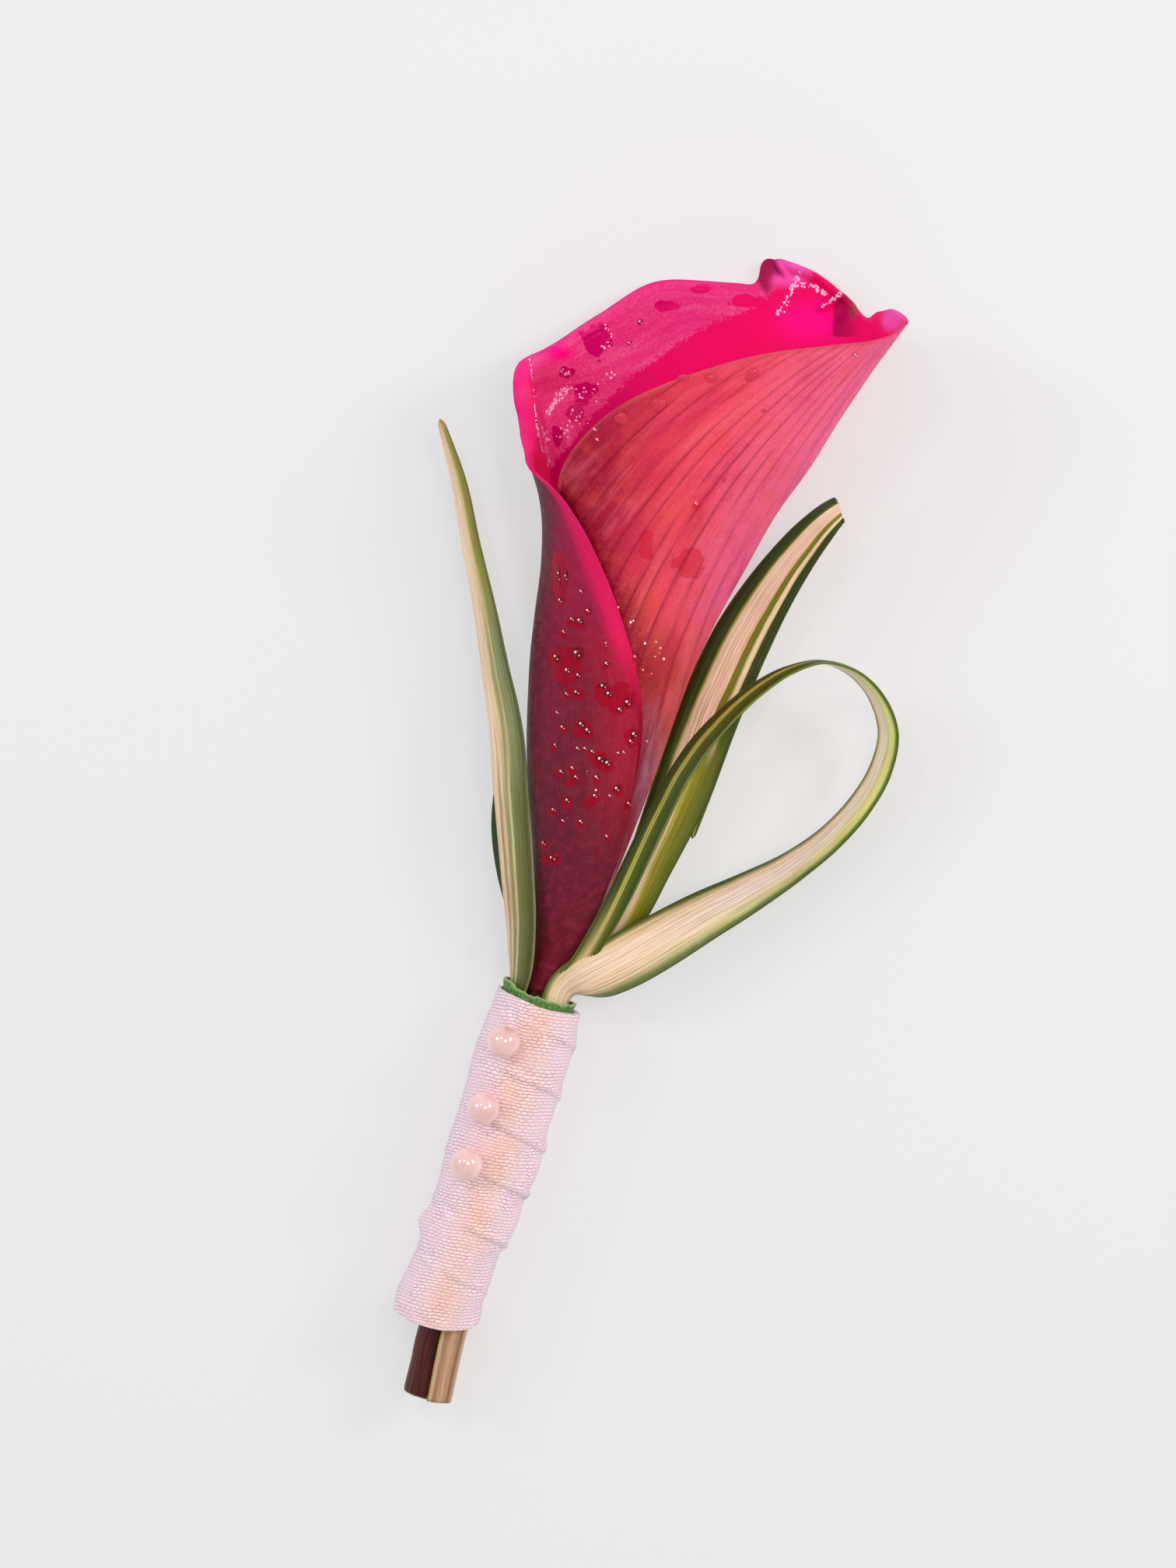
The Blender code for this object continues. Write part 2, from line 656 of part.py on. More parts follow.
def build():
    clear_scene()
    looks = {
        "spathe": material("Calla petal", colour(205, 60, 95), 0.45),
        "spadix": material("Calla spadix", colour(235, 190, 70), 0.7),
        "stem": material("Calla stem", colour(75, 28, 28), 0.5),
        "grass": material("Striped grass", colour(195, 190, 130), 0.5),
        "grass_dark": material("Dark grass", colour(45, 80, 30), 0.55),
        "tape": material("Stem wrap tape", colour(80, 150, 70), 0.6),
        "ribbon": material("Pink satin", colour(240, 205, 222), 0.35),
        "pearl": material("Pearl", colour(240, 195, 188), 0.2),
        "steel": material("Pin steel", colour(190, 190, 195), 0.25, 1.0),
    }
    root = bpy.data.objects.new("corsage", None)
    bpy.context.scene.collection.objects.link(root)
    stem = make_stem(looks["stem"], root)
    make_spathe(looks["spathe"], root)
    make_spadix(looks["spadix"], root)
    make_blade("grass_blade_left", left_blade(), looks["grass"], root)
    make_blade("grass_blade_left_rear", left_rear_blade(), looks["grass_dark"], root, columns=4)
    make_blade("grass_blade_folded", folded_blade(), looks["grass"], root)
    make_blade("grass_loop", loop_blade(), looks["grass"], root)
    tape = make_tape(looks["tape"], root)
    ribbon = make_ribbon(looks["ribbon"], root)
    for number, y in enumerate(PEARL_Y, start=1):
        make_pin(number, y, looks, root, [ribbon, tape, stem])
    solids = [made for made in bpy.data.objects if made.type == "MESH" and not made.hide_render]
    root.location = -footprint_centre(solids)


build()
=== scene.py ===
"""Looks of the calla corsage: a wet calla bloom, striped grass blades, crepe tape, satin ribbon and pins.

Shapes are worked out in millimetres in the handle's own frame: x = 0 is the axis of the handle, y = 0 is the
top edge of the ribbon, y runs up to the bloom, and z = 0 is the surface that the corsage lies on.
"""

import math

import bpy
import numpy as np
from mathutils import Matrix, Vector
from mathutils.bvhtree import BVHTree


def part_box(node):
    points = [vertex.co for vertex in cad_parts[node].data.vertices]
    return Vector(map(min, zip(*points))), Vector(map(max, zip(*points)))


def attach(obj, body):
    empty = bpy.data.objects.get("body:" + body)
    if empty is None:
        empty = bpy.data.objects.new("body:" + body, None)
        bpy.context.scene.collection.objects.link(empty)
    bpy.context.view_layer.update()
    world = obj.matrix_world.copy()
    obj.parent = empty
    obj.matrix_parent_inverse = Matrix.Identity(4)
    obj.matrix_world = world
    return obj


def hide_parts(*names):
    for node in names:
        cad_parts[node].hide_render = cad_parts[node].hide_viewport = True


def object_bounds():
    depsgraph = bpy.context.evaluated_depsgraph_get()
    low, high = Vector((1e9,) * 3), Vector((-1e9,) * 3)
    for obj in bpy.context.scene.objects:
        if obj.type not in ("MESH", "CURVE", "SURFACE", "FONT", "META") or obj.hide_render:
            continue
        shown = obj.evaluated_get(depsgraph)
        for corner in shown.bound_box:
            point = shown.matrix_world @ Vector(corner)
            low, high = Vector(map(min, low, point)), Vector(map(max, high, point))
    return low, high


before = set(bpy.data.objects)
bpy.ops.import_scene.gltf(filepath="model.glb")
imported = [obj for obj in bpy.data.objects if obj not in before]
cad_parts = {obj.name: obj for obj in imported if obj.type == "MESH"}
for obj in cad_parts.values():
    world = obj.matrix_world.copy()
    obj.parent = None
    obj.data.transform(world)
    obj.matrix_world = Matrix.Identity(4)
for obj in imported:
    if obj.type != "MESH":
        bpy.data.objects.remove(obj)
CAD_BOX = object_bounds()

MM = 0.001

# Handle
HANDLE_Z = 5.6
RIBBON_TOP = 0.1
STEM_X = -0.3
STEM_RADIUS = 2.0
CUT_END = -51.2
CUT_DRIFT = 0.6
# Stem near its cut end: distance from the end, what the radius gains, share of the drift. Rows before number
# CUT_FACE show the cut. Then the rest of it: distance along, what the radius gains.
CUT_ROWS = (
    (0.35, -1.6, 1.0), (0.2, -0.8, 1.0), (0.0, -0.3, 1.0), (0.1, -0.05, 1.0), (0.5, 0.1, 1.0),
    (1.4, 0.1, 0.9), (4.0, 0.0, 0.5),
)
CUT_FACE = 3.2
STEM_ROWS = ((-43.0, 0.0), (-30.0, 0.0), (0.0, 0.0), (2.2, 0.0), (6.0, -0.2))
STEM_SIDES = 64
INNER_LAYER = 2.6
OUTER_LAYER = 3.45
TAPE_BORE = 4.0
TAPE_WALL = 0.45
TAPE_END = -29.5
# How far the tape shows above the ribbon, and how far it flares there
TAPE_SHOWS = 0.95
TAPE_FLARE = 0.45
TAPE_SIDES = 220
RIBBON_BORE = 4.8
RIBBON_WALL = 1.15
RIBBON_END_BORE = 4.1

# Where the handle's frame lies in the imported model
TAPE_LOW, TAPE_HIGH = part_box("floral_tape")
RIBBON_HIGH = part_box("satin_ribbon")[1]
ORIGIN = np.array(
    (
        (TAPE_LOW.x + TAPE_HIGH.x) / 2,
        RIBBON_HIGH.y - RIBBON_TOP * MM,
        (TAPE_LOW.z + TAPE_HIGH.z) / 2 - HANDLE_Z * MM,
    )
)

# Camera: straight above, rolled so that the handle leans as in the photograph
PHOTO_WIDTH = 1512
PHOTO_HEIGHT = 2016
PIXEL = 0.095
PIXEL_PLANE = 12.0
CAMERA_HEIGHT = 462.0
CAMERA_AIM = (-1.9, 27.3)
CAMERA_ROLL = math.radians(17)
PICTURE_RIGHT = np.array((math.cos(CAMERA_ROLL), math.sin(CAMERA_ROLL), 0.0))
PICTURE_UP = np.array((-math.sin(CAMERA_ROLL), math.cos(CAMERA_ROLL), 0.0))
SENSOR = 36.0
# Sheets are lifted to lie this far above the table
FLOOR_GAP = 0.02

# Bloom: a sheet rolled round a funnel. Each row: distance along, left, right, back and front of the funnel.
SPATHE_THICKNESS = 0.6
# Gap from one layer of the roll to the next, which is smaller below PITCH_START + PITCH_RISE
LAYER_PITCH = 1.1
PITCH_START = -1.0
PITCH_RISE = 7.3
LEAST_PITCH = 0.3
BACK_FLAT = 0.5
FUNNEL = (
    (0.5, -2.6, 2.15, 3.75, 8.5), (3.5, -2.65, 2.6, 3.4, 8.5), (6.3, -2.9, 3.3, 2.75, 8.7),
    (10.0, -4.0, 4.1, 2.0, 10.0), (17.0, -5.95, 4.75, 0.95, 11.6), (26.0, -9.4, 5.45, 0.1, 14.2),
    (32.0, -11.35, 5.85, -0.2, 15.6), (38.0, -12.75, 6.25, -0.3, 17.0), (46.0, -14.25, 6.75, -0.3, 18.8),
    (52.0, -15.45, 7.5, -0.3, 20.6), (59.0, -17.85, 9.1, -0.3, 23.4), (65.0, -21.75, 10.6, -0.3, 26.0),
    (72.0, -25.65, 12.8, -0.3, 28.6), (78.0, -26.6, 14.15, -0.1, 30.0), (84.0, -26.8, 16.0, 0.3, 30.8),
    (92.0, -26.2, 18.9, 0.7, 31.4), (98.0, -25.8, 20.5, 1.4, 31.6),
)
# Edges of the sheet, from its base to its tip: share of the way, x, distance along, and 1 in front or -1
# behind.
OUTER_EDGE = (
    (0.0, 2.8, 6.3, 1), (0.06, 3.3, 11.0, 1), (0.16, 3.7, 19.5, 1), (0.27, 3.1, 28.9, 1),
    (0.32, 2.3, 34.4, 1), (0.37, 1.1, 38.7, 1), (0.46, -3.85, 47.4, 1), (0.515, -8.35, 53.3, 1),
    (0.555, -11.85, 57.0, 1), (0.59, -16.05, 60.3, 1), (0.615, -19.1, 62.1, 1), (0.65, -21.7, 64.1, 1),
    (0.69, -24.2, 67.8, 1), (0.72, -25.5, 72.4, -1), (0.745, -23.5, 76.6, -1), (0.78, -18.4, 82.8, -1),
    (0.82, -12.0, 89.9, -1), (0.845, -6.35, 91.8, -1), (0.858, -2.6, 92.7, -1), (0.866, -0.25, 93.4, -1),
    (0.869, 0.0, 94.2, -1), (0.873, -0.15, 95.8, -1), (0.876, 0.15, 96.5, -1), (0.882, 1.6, 96.8, -1),
    (0.895, 5.3, 96.6, -1), (0.92, 10.2, 94.9, -1), (0.94, 12.7, 93.3, -1), (0.955, 14.5, 92.6, -1),
    (0.964, 15.3, 93.5, -1), (0.974, 16.5, 94.2, -1), (0.985, 17.9, 93.6, -1), (1.0, 18.7, 92.1, -1),
)
INNER_EDGE = (
    (0.0, -2.1, 6.3, 1), (0.06, -3.0, 11.0, 1), (0.16, -5.6, 19.5, 1), (0.27, -9.0, 28.9, 1),
    (0.37, -11.2, 38.7, 1), (0.46, -12.8, 47.4, 1), (0.515, -14.1, 52.6, 1), (0.555, -15.2, 56.3, 1),
    (0.59, -16.2, 59.5, 1), (0.615, -16.5, 61.5, 1), (0.65, -15.9, 64.5, 1), (0.69, -13.65, 68.6, 1),
    (0.745, -9.05, 73.5, 1), (0.8, -3.35, 77.7, 1), (0.86, 4.25, 82.4, 1), (0.91, 11.05, 85.7, 1),
    (0.95, 15.45, 88.1, 1), (0.985, 18.1, 90.9, 1), (1.0, 18.7, 92.1, 1),
)
# Shares of the way at which a softened outer edge is read, which leaves out the small folds of the rim
SOFT_SHARES = (
    0.0, 0.06, 0.16, 0.27, 0.37, 0.46, 0.555, 0.615, 0.65, 0.69, 0.72, 0.78, 0.82, 0.845, 0.895, 0.94, 1.0
)
FOLD_REACH = 0.3
THROAT = 0.615
THROAT_Y = 61.5
TIP_Y = 92.1
BASE_Y = 6.3
SLEEVE_Y = 0.9
# How the outer edge rolls outward: share of the way, width of the roll and its radius.
ROLL = (
    (0.0, 0.0, 2.0), (0.15, 0.0, 2.0), (0.35, 0.4, 1.8), (0.5, 0.5, 1.8), (0.58, 0.7, 1.5),
    (0.61, 1.0, 1.4), (0.635, 1.8, 1.3), (0.665, 2.9, 1.3), (0.7, 3.1, 1.3), (0.735, 2.4, 1.4),
    (0.77, 1.4, 1.6), (0.85, 1.0, 1.6), (0.866, 0.5, 1.4), (0.878, 0.5, 1.2), (0.885, 3.0, 1.1),
    (0.9, 3.4, 1.1), (0.93, 2.8, 1.1), (0.948, 0.8, 1.2), (0.962, 0.5, 1.2), (0.972, 1.4, 0.9),
    (1.0, 1.2, 0.9),
)
# Narrower rolls are left out, and this far in from the roll the sheet's direction is taken.
LEAST_ROLL = 0.05
ROLL_PROBE = 0.6
# How the inner edge curls out: share of the way where it starts, then its width and radius
FLARE_FROM = 0.5
RIM_FLARE = (1.2, 2.6)
# How far the wall leans in under the rolled rim: share of the way, millimetres.
LEAN = (
    (0.615, 0.0), (0.63, 0.3), (0.65, 1.1), (0.67, 1.9), (0.69, 2.3), (0.73, 2.4), (0.755, 1.7), (0.78, 0.6),
    (0.84, 0.7), (0.86, 0.0),
)
LEAN_REACH = (1.0, 12.0)
# Folds of the rim near the tip: the shares between which it stands up beside the open end of the curl, and a
# small pleat, given by two pixels on its crease.
CURL_FOLD = (0.8795, 0.8845)
CURL_CLOSE = (0.9, 0.94)
CURL_REACH = (1.4, 4.0)
CURL_LIFT = 1.6
CURL_SHIFT = 0.7
CURL_SHIFT_END = 0.905
CURL_SHADE = (0.8665, 0.8835)
PLEAT_FROM = 0.87
PLEAT_LINE = ((1052, 400), (1086, 371))
PLEAT_LIFT = 0.5
PLEAT_DEPTH = 0.6
# In pixels: where the pleat starts and ends along its crease, how wide the crease is, and where the hollow
# beside it starts and ends
PLEAT_START = (-6, 10)
PLEAT_END = (46, 58)
PLEAT_WIDTH = 4.0
HOLLOW_START = (2, 8)
HOLLOW_END = (20, 36)
# Pixels where the painted shade of the pleat starts and ends from left to right, and its lowest row
PLEAT_SHADE_START = (1069, 1075)
PLEAT_SHADE_END = (1082, 1114)
PLEAT_SHADE_LOW = 434
PETAL_THICKNESS = 0.5
PETAL_RIM = 0.22
SPATHE_COLUMNS = 184
COLUMN_BIAS = 0.075
SLEEVE_ROWS = 10
LOWER_ROWS = 90
LOWER_SHARE = 0.6
# Rows of the open part of the bloom: share of the way where each band of rows ends, and its rows
UPPER_ROWS = ((0.86, 62), (0.9, 36), (0.996, 44))

# Spadix: distance along and radius.
SPADIX = (
    (6.3, 0.75), (9.0, 0.75), (12.5, 1.0), (15.0, 1.9), (19.0, 2.3), (30.0, 2.4), (38.0, 2.1), (42.5, 1.5),
    (44.6, 0.7),
)
SPADIX_SIDES = 48
SPADIX_ROWS = 150
FLORET_RELIEF = 0.22

BLADE_MIDDLE = 0.42
BLADE_EDGE = 0.16
BLADE_COLUMNS = 41
BLADE_STEP = 0.45
# Blades narrow to this share of a round end, over no less than this length
BLADE_END_ROUND = 0.96
BLADE_END_LEAST = 0.6
RIDGE_COUNT = 9
RIDGE_RELIEF = 0.035

# Ribbon silhouette seen from above: distance along the handle, left edge, right edge.
RIBBON_EDGES = (
    (-42.0, -5.9, 4.7), (-39.2, -6.25, 4.6), (-36.0, -5.7, 4.6), (-32.8, -5.35, 4.6), (-29.8, -5.5, 5.3),
    (-28.0, -5.3, 5.5), (-25.0, -5.25, 5.65), (-20.0, -5.55, 6.15), (-14.0, -5.45, 5.95), (-8.0, -5.8, 6.1),
    (-5.0, -5.6, 6.0), (-2.0, -5.3, 5.75), (0.1, -5.25, 5.5),
)
# Where each turn of the ribbon ends on the right side of the handle
TURN_ENDS = (2.0, -4.6, -11.0, -17.9, -23.9, -30.6, -36.8, -43.5)
WRAP_STEP = 0.2
# Lap of each turn, in shares of a turn: where its hem is, how wide and how high, and how far the lap falls
HEM_AT = 0.94
HEM_WIDTH = 0.035
HEM_HEIGHT = 0.09
LAP_DROP = 0.04
# Soft bulge at the lower left of the ribbon: distance along, degrees from the right side, and height
BULGE_Y = -30.4
BULGE_ANGLE = 172
BULGE_HEIGHT = 0.75
RIBBON_SIDES = 180
RIBBON_ROWS = 330
WEAVE_PITCH = 0.42
FLOAT_LENGTH = 0.9
# Where the painted peach sheen lies round the handle, in degrees
PAINTED_SHEEN_ANGLE = 84
PAINTED_SHEEN_SPREAD = 26
# How strongly each turn of the ribbon shows at its lower edge
TURN_STRENGTH = (0.3, 1.1, 1.2, 1.7, 2.0, 1.3, 0.5, 0.3)
# Ends of the ribbon round the handle: angle from the right side, top edge, bottom edge.
RIBBON_ENDS = (
    (-90, 0.1, -41.4), (0, -0.2, -40.3), (40, -0.4, -41.2), (80, -0.6, -41.9), (115, -0.3, -42.0),
    (180, 0.1, -41.6), (270, 0.1, -41.4),
)

PEARL_Y = (-5.7, -14.2, -21.3)
PEARL_RADIUS = 2.0
PEARL_DISTANCE = 8.2
PEARL_ANGLE = 108.0
PEARL_SIDES = 48
PEARL_ROWS = 33


def smooth(at, knots, values):
    """Cubic curve through values at knots, read at each number in at."""
    at = np.asarray(at, float)
    knots = np.asarray(knots, float)
    values = np.asarray(values, float)
    slopes = np.gradient(values, knots, axis=0)
    i = np.clip(np.searchsorted(knots, at, side="right") - 1, 0, len(knots) - 2)
    step = knots[i + 1] - knots[i]
    u = (at - knots[i]) / step
    if values.ndim > 1:
        step = step[..., None]
        u = u[..., None]
    start = (1 + 2 * u) * (1 - u) ** 2 * values[i] + u * (1 - u) ** 2 * step * slopes[i]
    end = u**2 * (3 - 2 * u) * values[i + 1] + u**2 * (u - 1) * step * slopes[i + 1]
    return start + end


def unit(vectors):
    return vectors / np.maximum(np.linalg.norm(vectors, axis=-1, keepdims=True), 1e-9)


def fade(value, low, high):
    """0 below low, 1 above high, and a smooth step between them."""
    u = np.clip((np.asarray(value, float) - low) / (high - low), 0.0, 1.0)
    return u * u * (3 - 2 * u)


def bell(value, middle, width):
    """1 in the middle, falling off smoothly on both sides."""
    return np.exp(-(((value - middle) / width) ** 2))


def read_table(at, table, key=0, column=1):
    """One column of a table at each place, in straight lines between its rows."""
    table = np.array(table)
    return np.interp(at, table[:, key], table[:, column])


def ring_angles(sides):
    return np.arange(sides) * 2 * math.pi / sides


def from_below(angle):
    """Degrees from the right side, counted from -90 at the bottom up to 270."""
    return (np.degrees(angle) + 90) % 360 - 90


def add_object(name, data):
    made = bpy.data.objects.new(name, data)
    bpy.context.scene.collection.objects.link(made)
    return made


def to_world(points):
    return np.asarray(points, float) * MM + ORIGIN


# Mesh builders


def add_mesh(name, points, faces, look, uv=None, values=None):
    """Mesh from points in the handle's frame, with one uv pair and named values for each point."""
    mesh = bpy.data.meshes.new(name)
    mesh.from_pydata(to_world(points).tolist(), [], faces)
    mesh.update()
    if uv is not None:
        layer = mesh.uv_layers.new(name="shape")
        corners = np.empty(len(mesh.loops), np.int32)
        mesh.loops.foreach_get("vertex_index", corners)
        layer.data.foreach_set("uv", np.asarray(uv, np.float32)[corners].ravel())
    for key, value in (values or {}).items():
        made = mesh.attributes.new(key, "FLOAT", "POINT")
        made.data.foreach_set("value", np.asarray(value, np.float32).ravel())
    mesh.shade_smooth()
    mesh.materials.append(look)
    return add_object(name, mesh)


def ring_faces(count, size, first=0, looped=False):
    """Faces of a skin over rings of equal size. It closes into a tube wall, or is capped at both ends."""
    faces = []
    for i in range(count if looped else count - 1):
        a, b = first + i * size, first + (i + 1) % count * size
        for j in range(size):
            k = (j + 1) % size
            faces.append([a + j, a + k, b + k, b + j])
    if not looped:
        faces.append([first + j for j in range(size)][::-1])
        faces.append([first + (count - 1) * size + j for j in range(size)])
    return faces


def place(piece, slot, *nodes):
    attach(piece, "root")
    if nodes:
        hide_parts(*nodes)
    return piece


def grid_faces(rows, columns, first=0, flip=False):
    i, j = np.meshgrid(np.arange(rows - 1), np.arange(columns - 1), indexing="ij")
    a = (first + i * columns + j).ravel()
    quads = np.stack((a, a + 1, a + columns + 1, a + columns), axis=1)
    return (quads[:, ::-1] if flip else quads).tolist()


def slab(name, middle, thickness, look, uv, values=None, relief=0.0, floor=None):
    """Closed thin sheet round a grid of points. The value called face is 1 on its upper side and 0 below."""
    rows, columns = middle.shape[:2]
    normal = unit(np.cross(np.gradient(middle, axis=1), np.gradient(middle, axis=0)))
    half = (np.broadcast_to(thickness, (rows, columns)) / 2)[..., None]
    bumps = np.broadcast_to(relief, (rows, columns))[..., None]
    upper = middle + normal * (half + bumps)
    lower = middle - normal * (half - bumps)
    if floor is not None:
        lift = np.maximum(0.0, floor - np.minimum(upper[..., 2], lower[..., 2]))
        upper[..., 2] += lift
        lower[..., 2] += lift
    count = rows * columns
    faces = grid_faces(rows, columns)
    faces += grid_faces(rows, columns, first=count, flip=True)
    border = list(range(columns - 1))
    border += [i * columns + columns - 1 for i in range(rows - 1)]
    border += [(rows - 1) * columns + j for j in range(columns - 1, 0, -1)]
    border += [i * columns for i in range(rows - 1, 0, -1)]
    for a, b in zip(border, border[1:] + border[:1]):
        faces.append([b, a, a + count, b + count])
    points = np.concatenate((upper.reshape(-1, 3), lower.reshape(-1, 3)))
    both = {}
    for key, value in (values or {}).items():
        both[key] = np.tile(np.broadcast_to(value, (rows, columns)).ravel(), 2)
    both["face"] = np.repeat((1.0, 0.0), count)
    flat_uv = np.tile(uv.reshape(-1, 2), (2, 1))
    return add_mesh(name, points, faces, look, flat_uv, both)


def tube(name, rings, look, uv, values=None, looped=False):
    """Closed skin through rings of equal size."""
    faces = ring_faces(*rings.shape[:2], looped=looped)
    return add_mesh(name, rings.reshape(-1, 3), faces, look, uv.reshape(-1, 2), values)


def round_rings(middle_x, middle_z, y, reach, angle):
    """Rings round a middle line, with their uv pairs of angle and distance along."""
    x = middle_x + reach * np.cos(angle)
    z = middle_z + reach * np.sin(angle)
    rings = np.stack((x, np.broadcast_to(y, x.shape), z), axis=-1)
    return rings, np.stack(np.broadcast_arrays(angle[None, :], y), axis=-1)


def face_outward(piece):
    """Turns the faces round where the closed mesh came out inside out."""
    mesh = piece.data
    mesh.calc_loop_triangles()
    points = np.empty(len(mesh.vertices) * 3, np.float32)
    mesh.vertices.foreach_get("co", points)
    corners = np.empty(len(mesh.loop_triangles) * 3, np.int32)
    mesh.loop_triangles.foreach_get("vertices", corners)
    corners = points.reshape(-1, 3).astype(float)[corners.reshape(-1, 3)]
    if np.linalg.det(corners).sum() < 0:
        mesh.flip_normals()
    return piece


# Node materials


def colour(red, green, blue):
    """Linear colour from the usual 0 to 255 values."""
    parts = []
    for part in (red / 255, green / 255, blue / 255):
        parts.append(part / 12.92 if part <= 0.04045 else ((part + 0.055) / 1.055) ** 2.4)
    return (*parts, 1.0)


def grey(value):
    return (value, value, value, 1.0)


class Look:
    """One material and short calls for the nodes that the looks here are made of."""

    def __init__(self, name, **settings):
        self.material = bpy.data.materials.new(name)
        self.material.use_nodes = True
        self.tree = self.material.node_tree
        self.shader = self.tree.nodes["Principled BSDF"]
        self.set(**settings)
        self.uv = self.add("ShaderNodeUVMap", uv_map="shape").outputs["UV"]
        place_in_m = self.add("ShaderNodeTexCoord").outputs["Object"]
        to_mm = {0: place_in_m, 1: (1 / MM,) * 3}
        self.place = self.add("ShaderNodeVectorMath", to_mm, operation="MULTIPLY").outputs[0]

    def fill(self, socket, value):
        """Links a socket, or sets its plain value."""
        if isinstance(value, bpy.types.NodeSocket):
            self.tree.links.new(value, socket)
        else:
            socket.default_value = value

    def add(self, kind, inputs=None, **settings):
        node = self.tree.nodes.new(kind)
        for key, value in settings.items():
            setattr(node, key, value)
        for key, value in (inputs or {}).items():
            self.fill(node.inputs[key], value)
        return node

    def set(self, **settings):
        """Sets sockets of the shader. Underscores stand for spaces in a socket's name."""
        for key, value in settings.items():
            self.fill(self.shader.inputs[key.replace("_", " ")], value)

    def value(self, name):
        return self.add("ShaderNodeAttribute", attribute_name=name).outputs["Fac"]

    def split(self, vector):
        return self.add("ShaderNodeSeparateXYZ", {0: vector}).outputs

    def join(self, x, y, z=0.0):
        return self.add("ShaderNodeCombineXYZ", {0: x, 1: y, 2: z}).outputs[0]

    def maths(self, operation, a, b=0.0, c=0.0):
        return self.add("ShaderNodeMath", {0: a, 1: b, 2: c}, operation=operation).outputs[0]

    def times(self, a, b):
        return self.maths("MULTIPLY", a, b)

    def times_add(self, a, factor, b):
        return self.maths("MULTIPLY_ADD", a, factor, b)

    def hump(self, value, power):
        """One rounded hump for each whole number, flatter on top where the power is small."""
        wave = self.maths("ABSOLUTE", self.maths("SINE", self.times(value, math.pi)))
        return self.maths("POWER", wave, power)

    def span(self, value, low, high, to_low=0.0, to_high=1.0):
        inputs = {"Value": value, "From Min": low, "From Max": high, "To Min": to_low, "To Max": to_high}
        return self.add("ShaderNodeMapRange", inputs, interpolation_type="SMOOTHSTEP").outputs[0]

    def noise(self, vector, scale, detail=3.0, roughness=0.5):
        inputs = {"Vector": vector, "Scale": scale, "Detail": detail, "Roughness": roughness}
        return self.add("ShaderNodeTexNoise", inputs).outputs["Fac"]

    def streaks(self, x, x_scale, y, y_scale, detail=2.0, roughness=0.5):
        """Noise over two values, each with its own scale, so that it is drawn out along one of them."""
        return self.noise(self.join(self.times(x, x_scale), self.times(y, y_scale)), 1.0, detail, roughness)

    def from_line(self, value):
        """Distance to the nearest of a set of unevenly spaced lines, about one for each whole number."""
        kind = {"voronoi_dimensions": "1D", "feature": "DISTANCE_TO_EDGE"}
        return self.add("ShaderNodeTexVoronoi", {"W": value, "Scale": 1.0}, **kind).outputs["Distance"]

    def ramp(self, value, stops):
        """Colour ramp with stops of position and 0 to 255 colour."""
        node = self.add("ShaderNodeValToRGB", {0: value})
        points = node.color_ramp.elements
        for _ in stops[2:]:
            points.new(0.5)
        for point, (at, _) in zip(points, stops):
            point.position = at
        for point, (_, tone) in zip(points, stops):
            point.color = colour(*tone)
        return node.outputs[0]

    def mix(self, share, a, b, blend="MIX"):
        node = self.add("ShaderNodeMix", data_type="RGBA", blend_type=blend)
        for index, value in ((0, share), (6, a), (7, b)):
            self.fill(node.inputs[index], value)
        return node.outputs[2]

    def tint(self, base, share, tone):
        """Lays a share of a 0 to 255 colour over the base."""
        return self.mix(share, base, colour(*tone))

    def bump(self, height, distance, strength=1.0):
        inputs = {"Height": height, "Distance": distance * MM, "Strength": strength}
        self.set(Normal=self.add("ShaderNodeBump", inputs).outputs[0])


# Ramps of the petal. Front: by turn, then by distance along where it is low. The others: by distance along,
# or by the noise that each is used with.
FRONT_STOPS = (
    (0.1, (255, 112, 160)), (0.26, (255, 108, 140)), (0.4, (252, 88, 108)), (0.5, (232, 66, 92)),
    (0.62, (184, 34, 62)), (0.8, (150, 20, 46)),
)
LOW_FRONT_STOPS = (
    (0.1, (104, 30, 44)), (0.2, (140, 74, 90)), (0.3, (168, 112, 132)), (0.36, (196, 82, 80)),
    (0.42, (222, 80, 78)), (0.5, (236, 82, 92)),
)
FLAP_STOPS = (
    (0.0, (112, 24, 38)), (0.09, (114, 34, 48)), (0.18, (108, 39, 54)), (0.3, (118, 42, 57)),
    (0.42, (142, 34, 61)), (0.52, (168, 36, 78)), (0.62, (180, 38, 90)),
)
BAND_STOPS = ((0.22, (116, 14, 34)), (0.36, (152, 10, 44)), (0.45, (240, 36, 98)), (0.58, (230, 32, 104)))
VEIL_STOPS = ((0.0, (140, 44, 62)), (0.5, (168, 100, 122)), (1.0, (192, 146, 168)))
FIBRE_STOPS = ((0.3, (244, 222, 230)), (0.66, (255, 255, 255)))
DOWN_STOPS = ((0.3, (240, 208, 222)), (0.6, (255, 255, 255)))
INSIDE_STOPS = ((0.0, (212, 0, 122)), (0.5, (210, 0, 104)), (1.0, (246, 0, 104)))
DUSTY_STOPS = ((0.36, (230, 40, 128)), (0.5, (248, 72, 150)), (0.62, (255, 122, 184)))
LIP_STOPS = ((0.36, (248, 62, 134)), (0.6, (255, 20, 132)))
PALE_CORAL = (246, 92, 84)
ROSE = (214, 54, 100)
BRONZE = (168, 74, 44)
SALMON = (255, 120, 132)
RASPBERRY = (206, 34, 78)
PAINTED_SHADE_CRIMSON = (146, 10, 42)
DRY_EDGE = (222, 118, 104)
VEIN_PLUM = (136, 4, 52)
WET_FLAP = (176, 0, 38)
WET_FRONT = (226, 36, 56)
WET_INSIDE = (204, 0, 112)


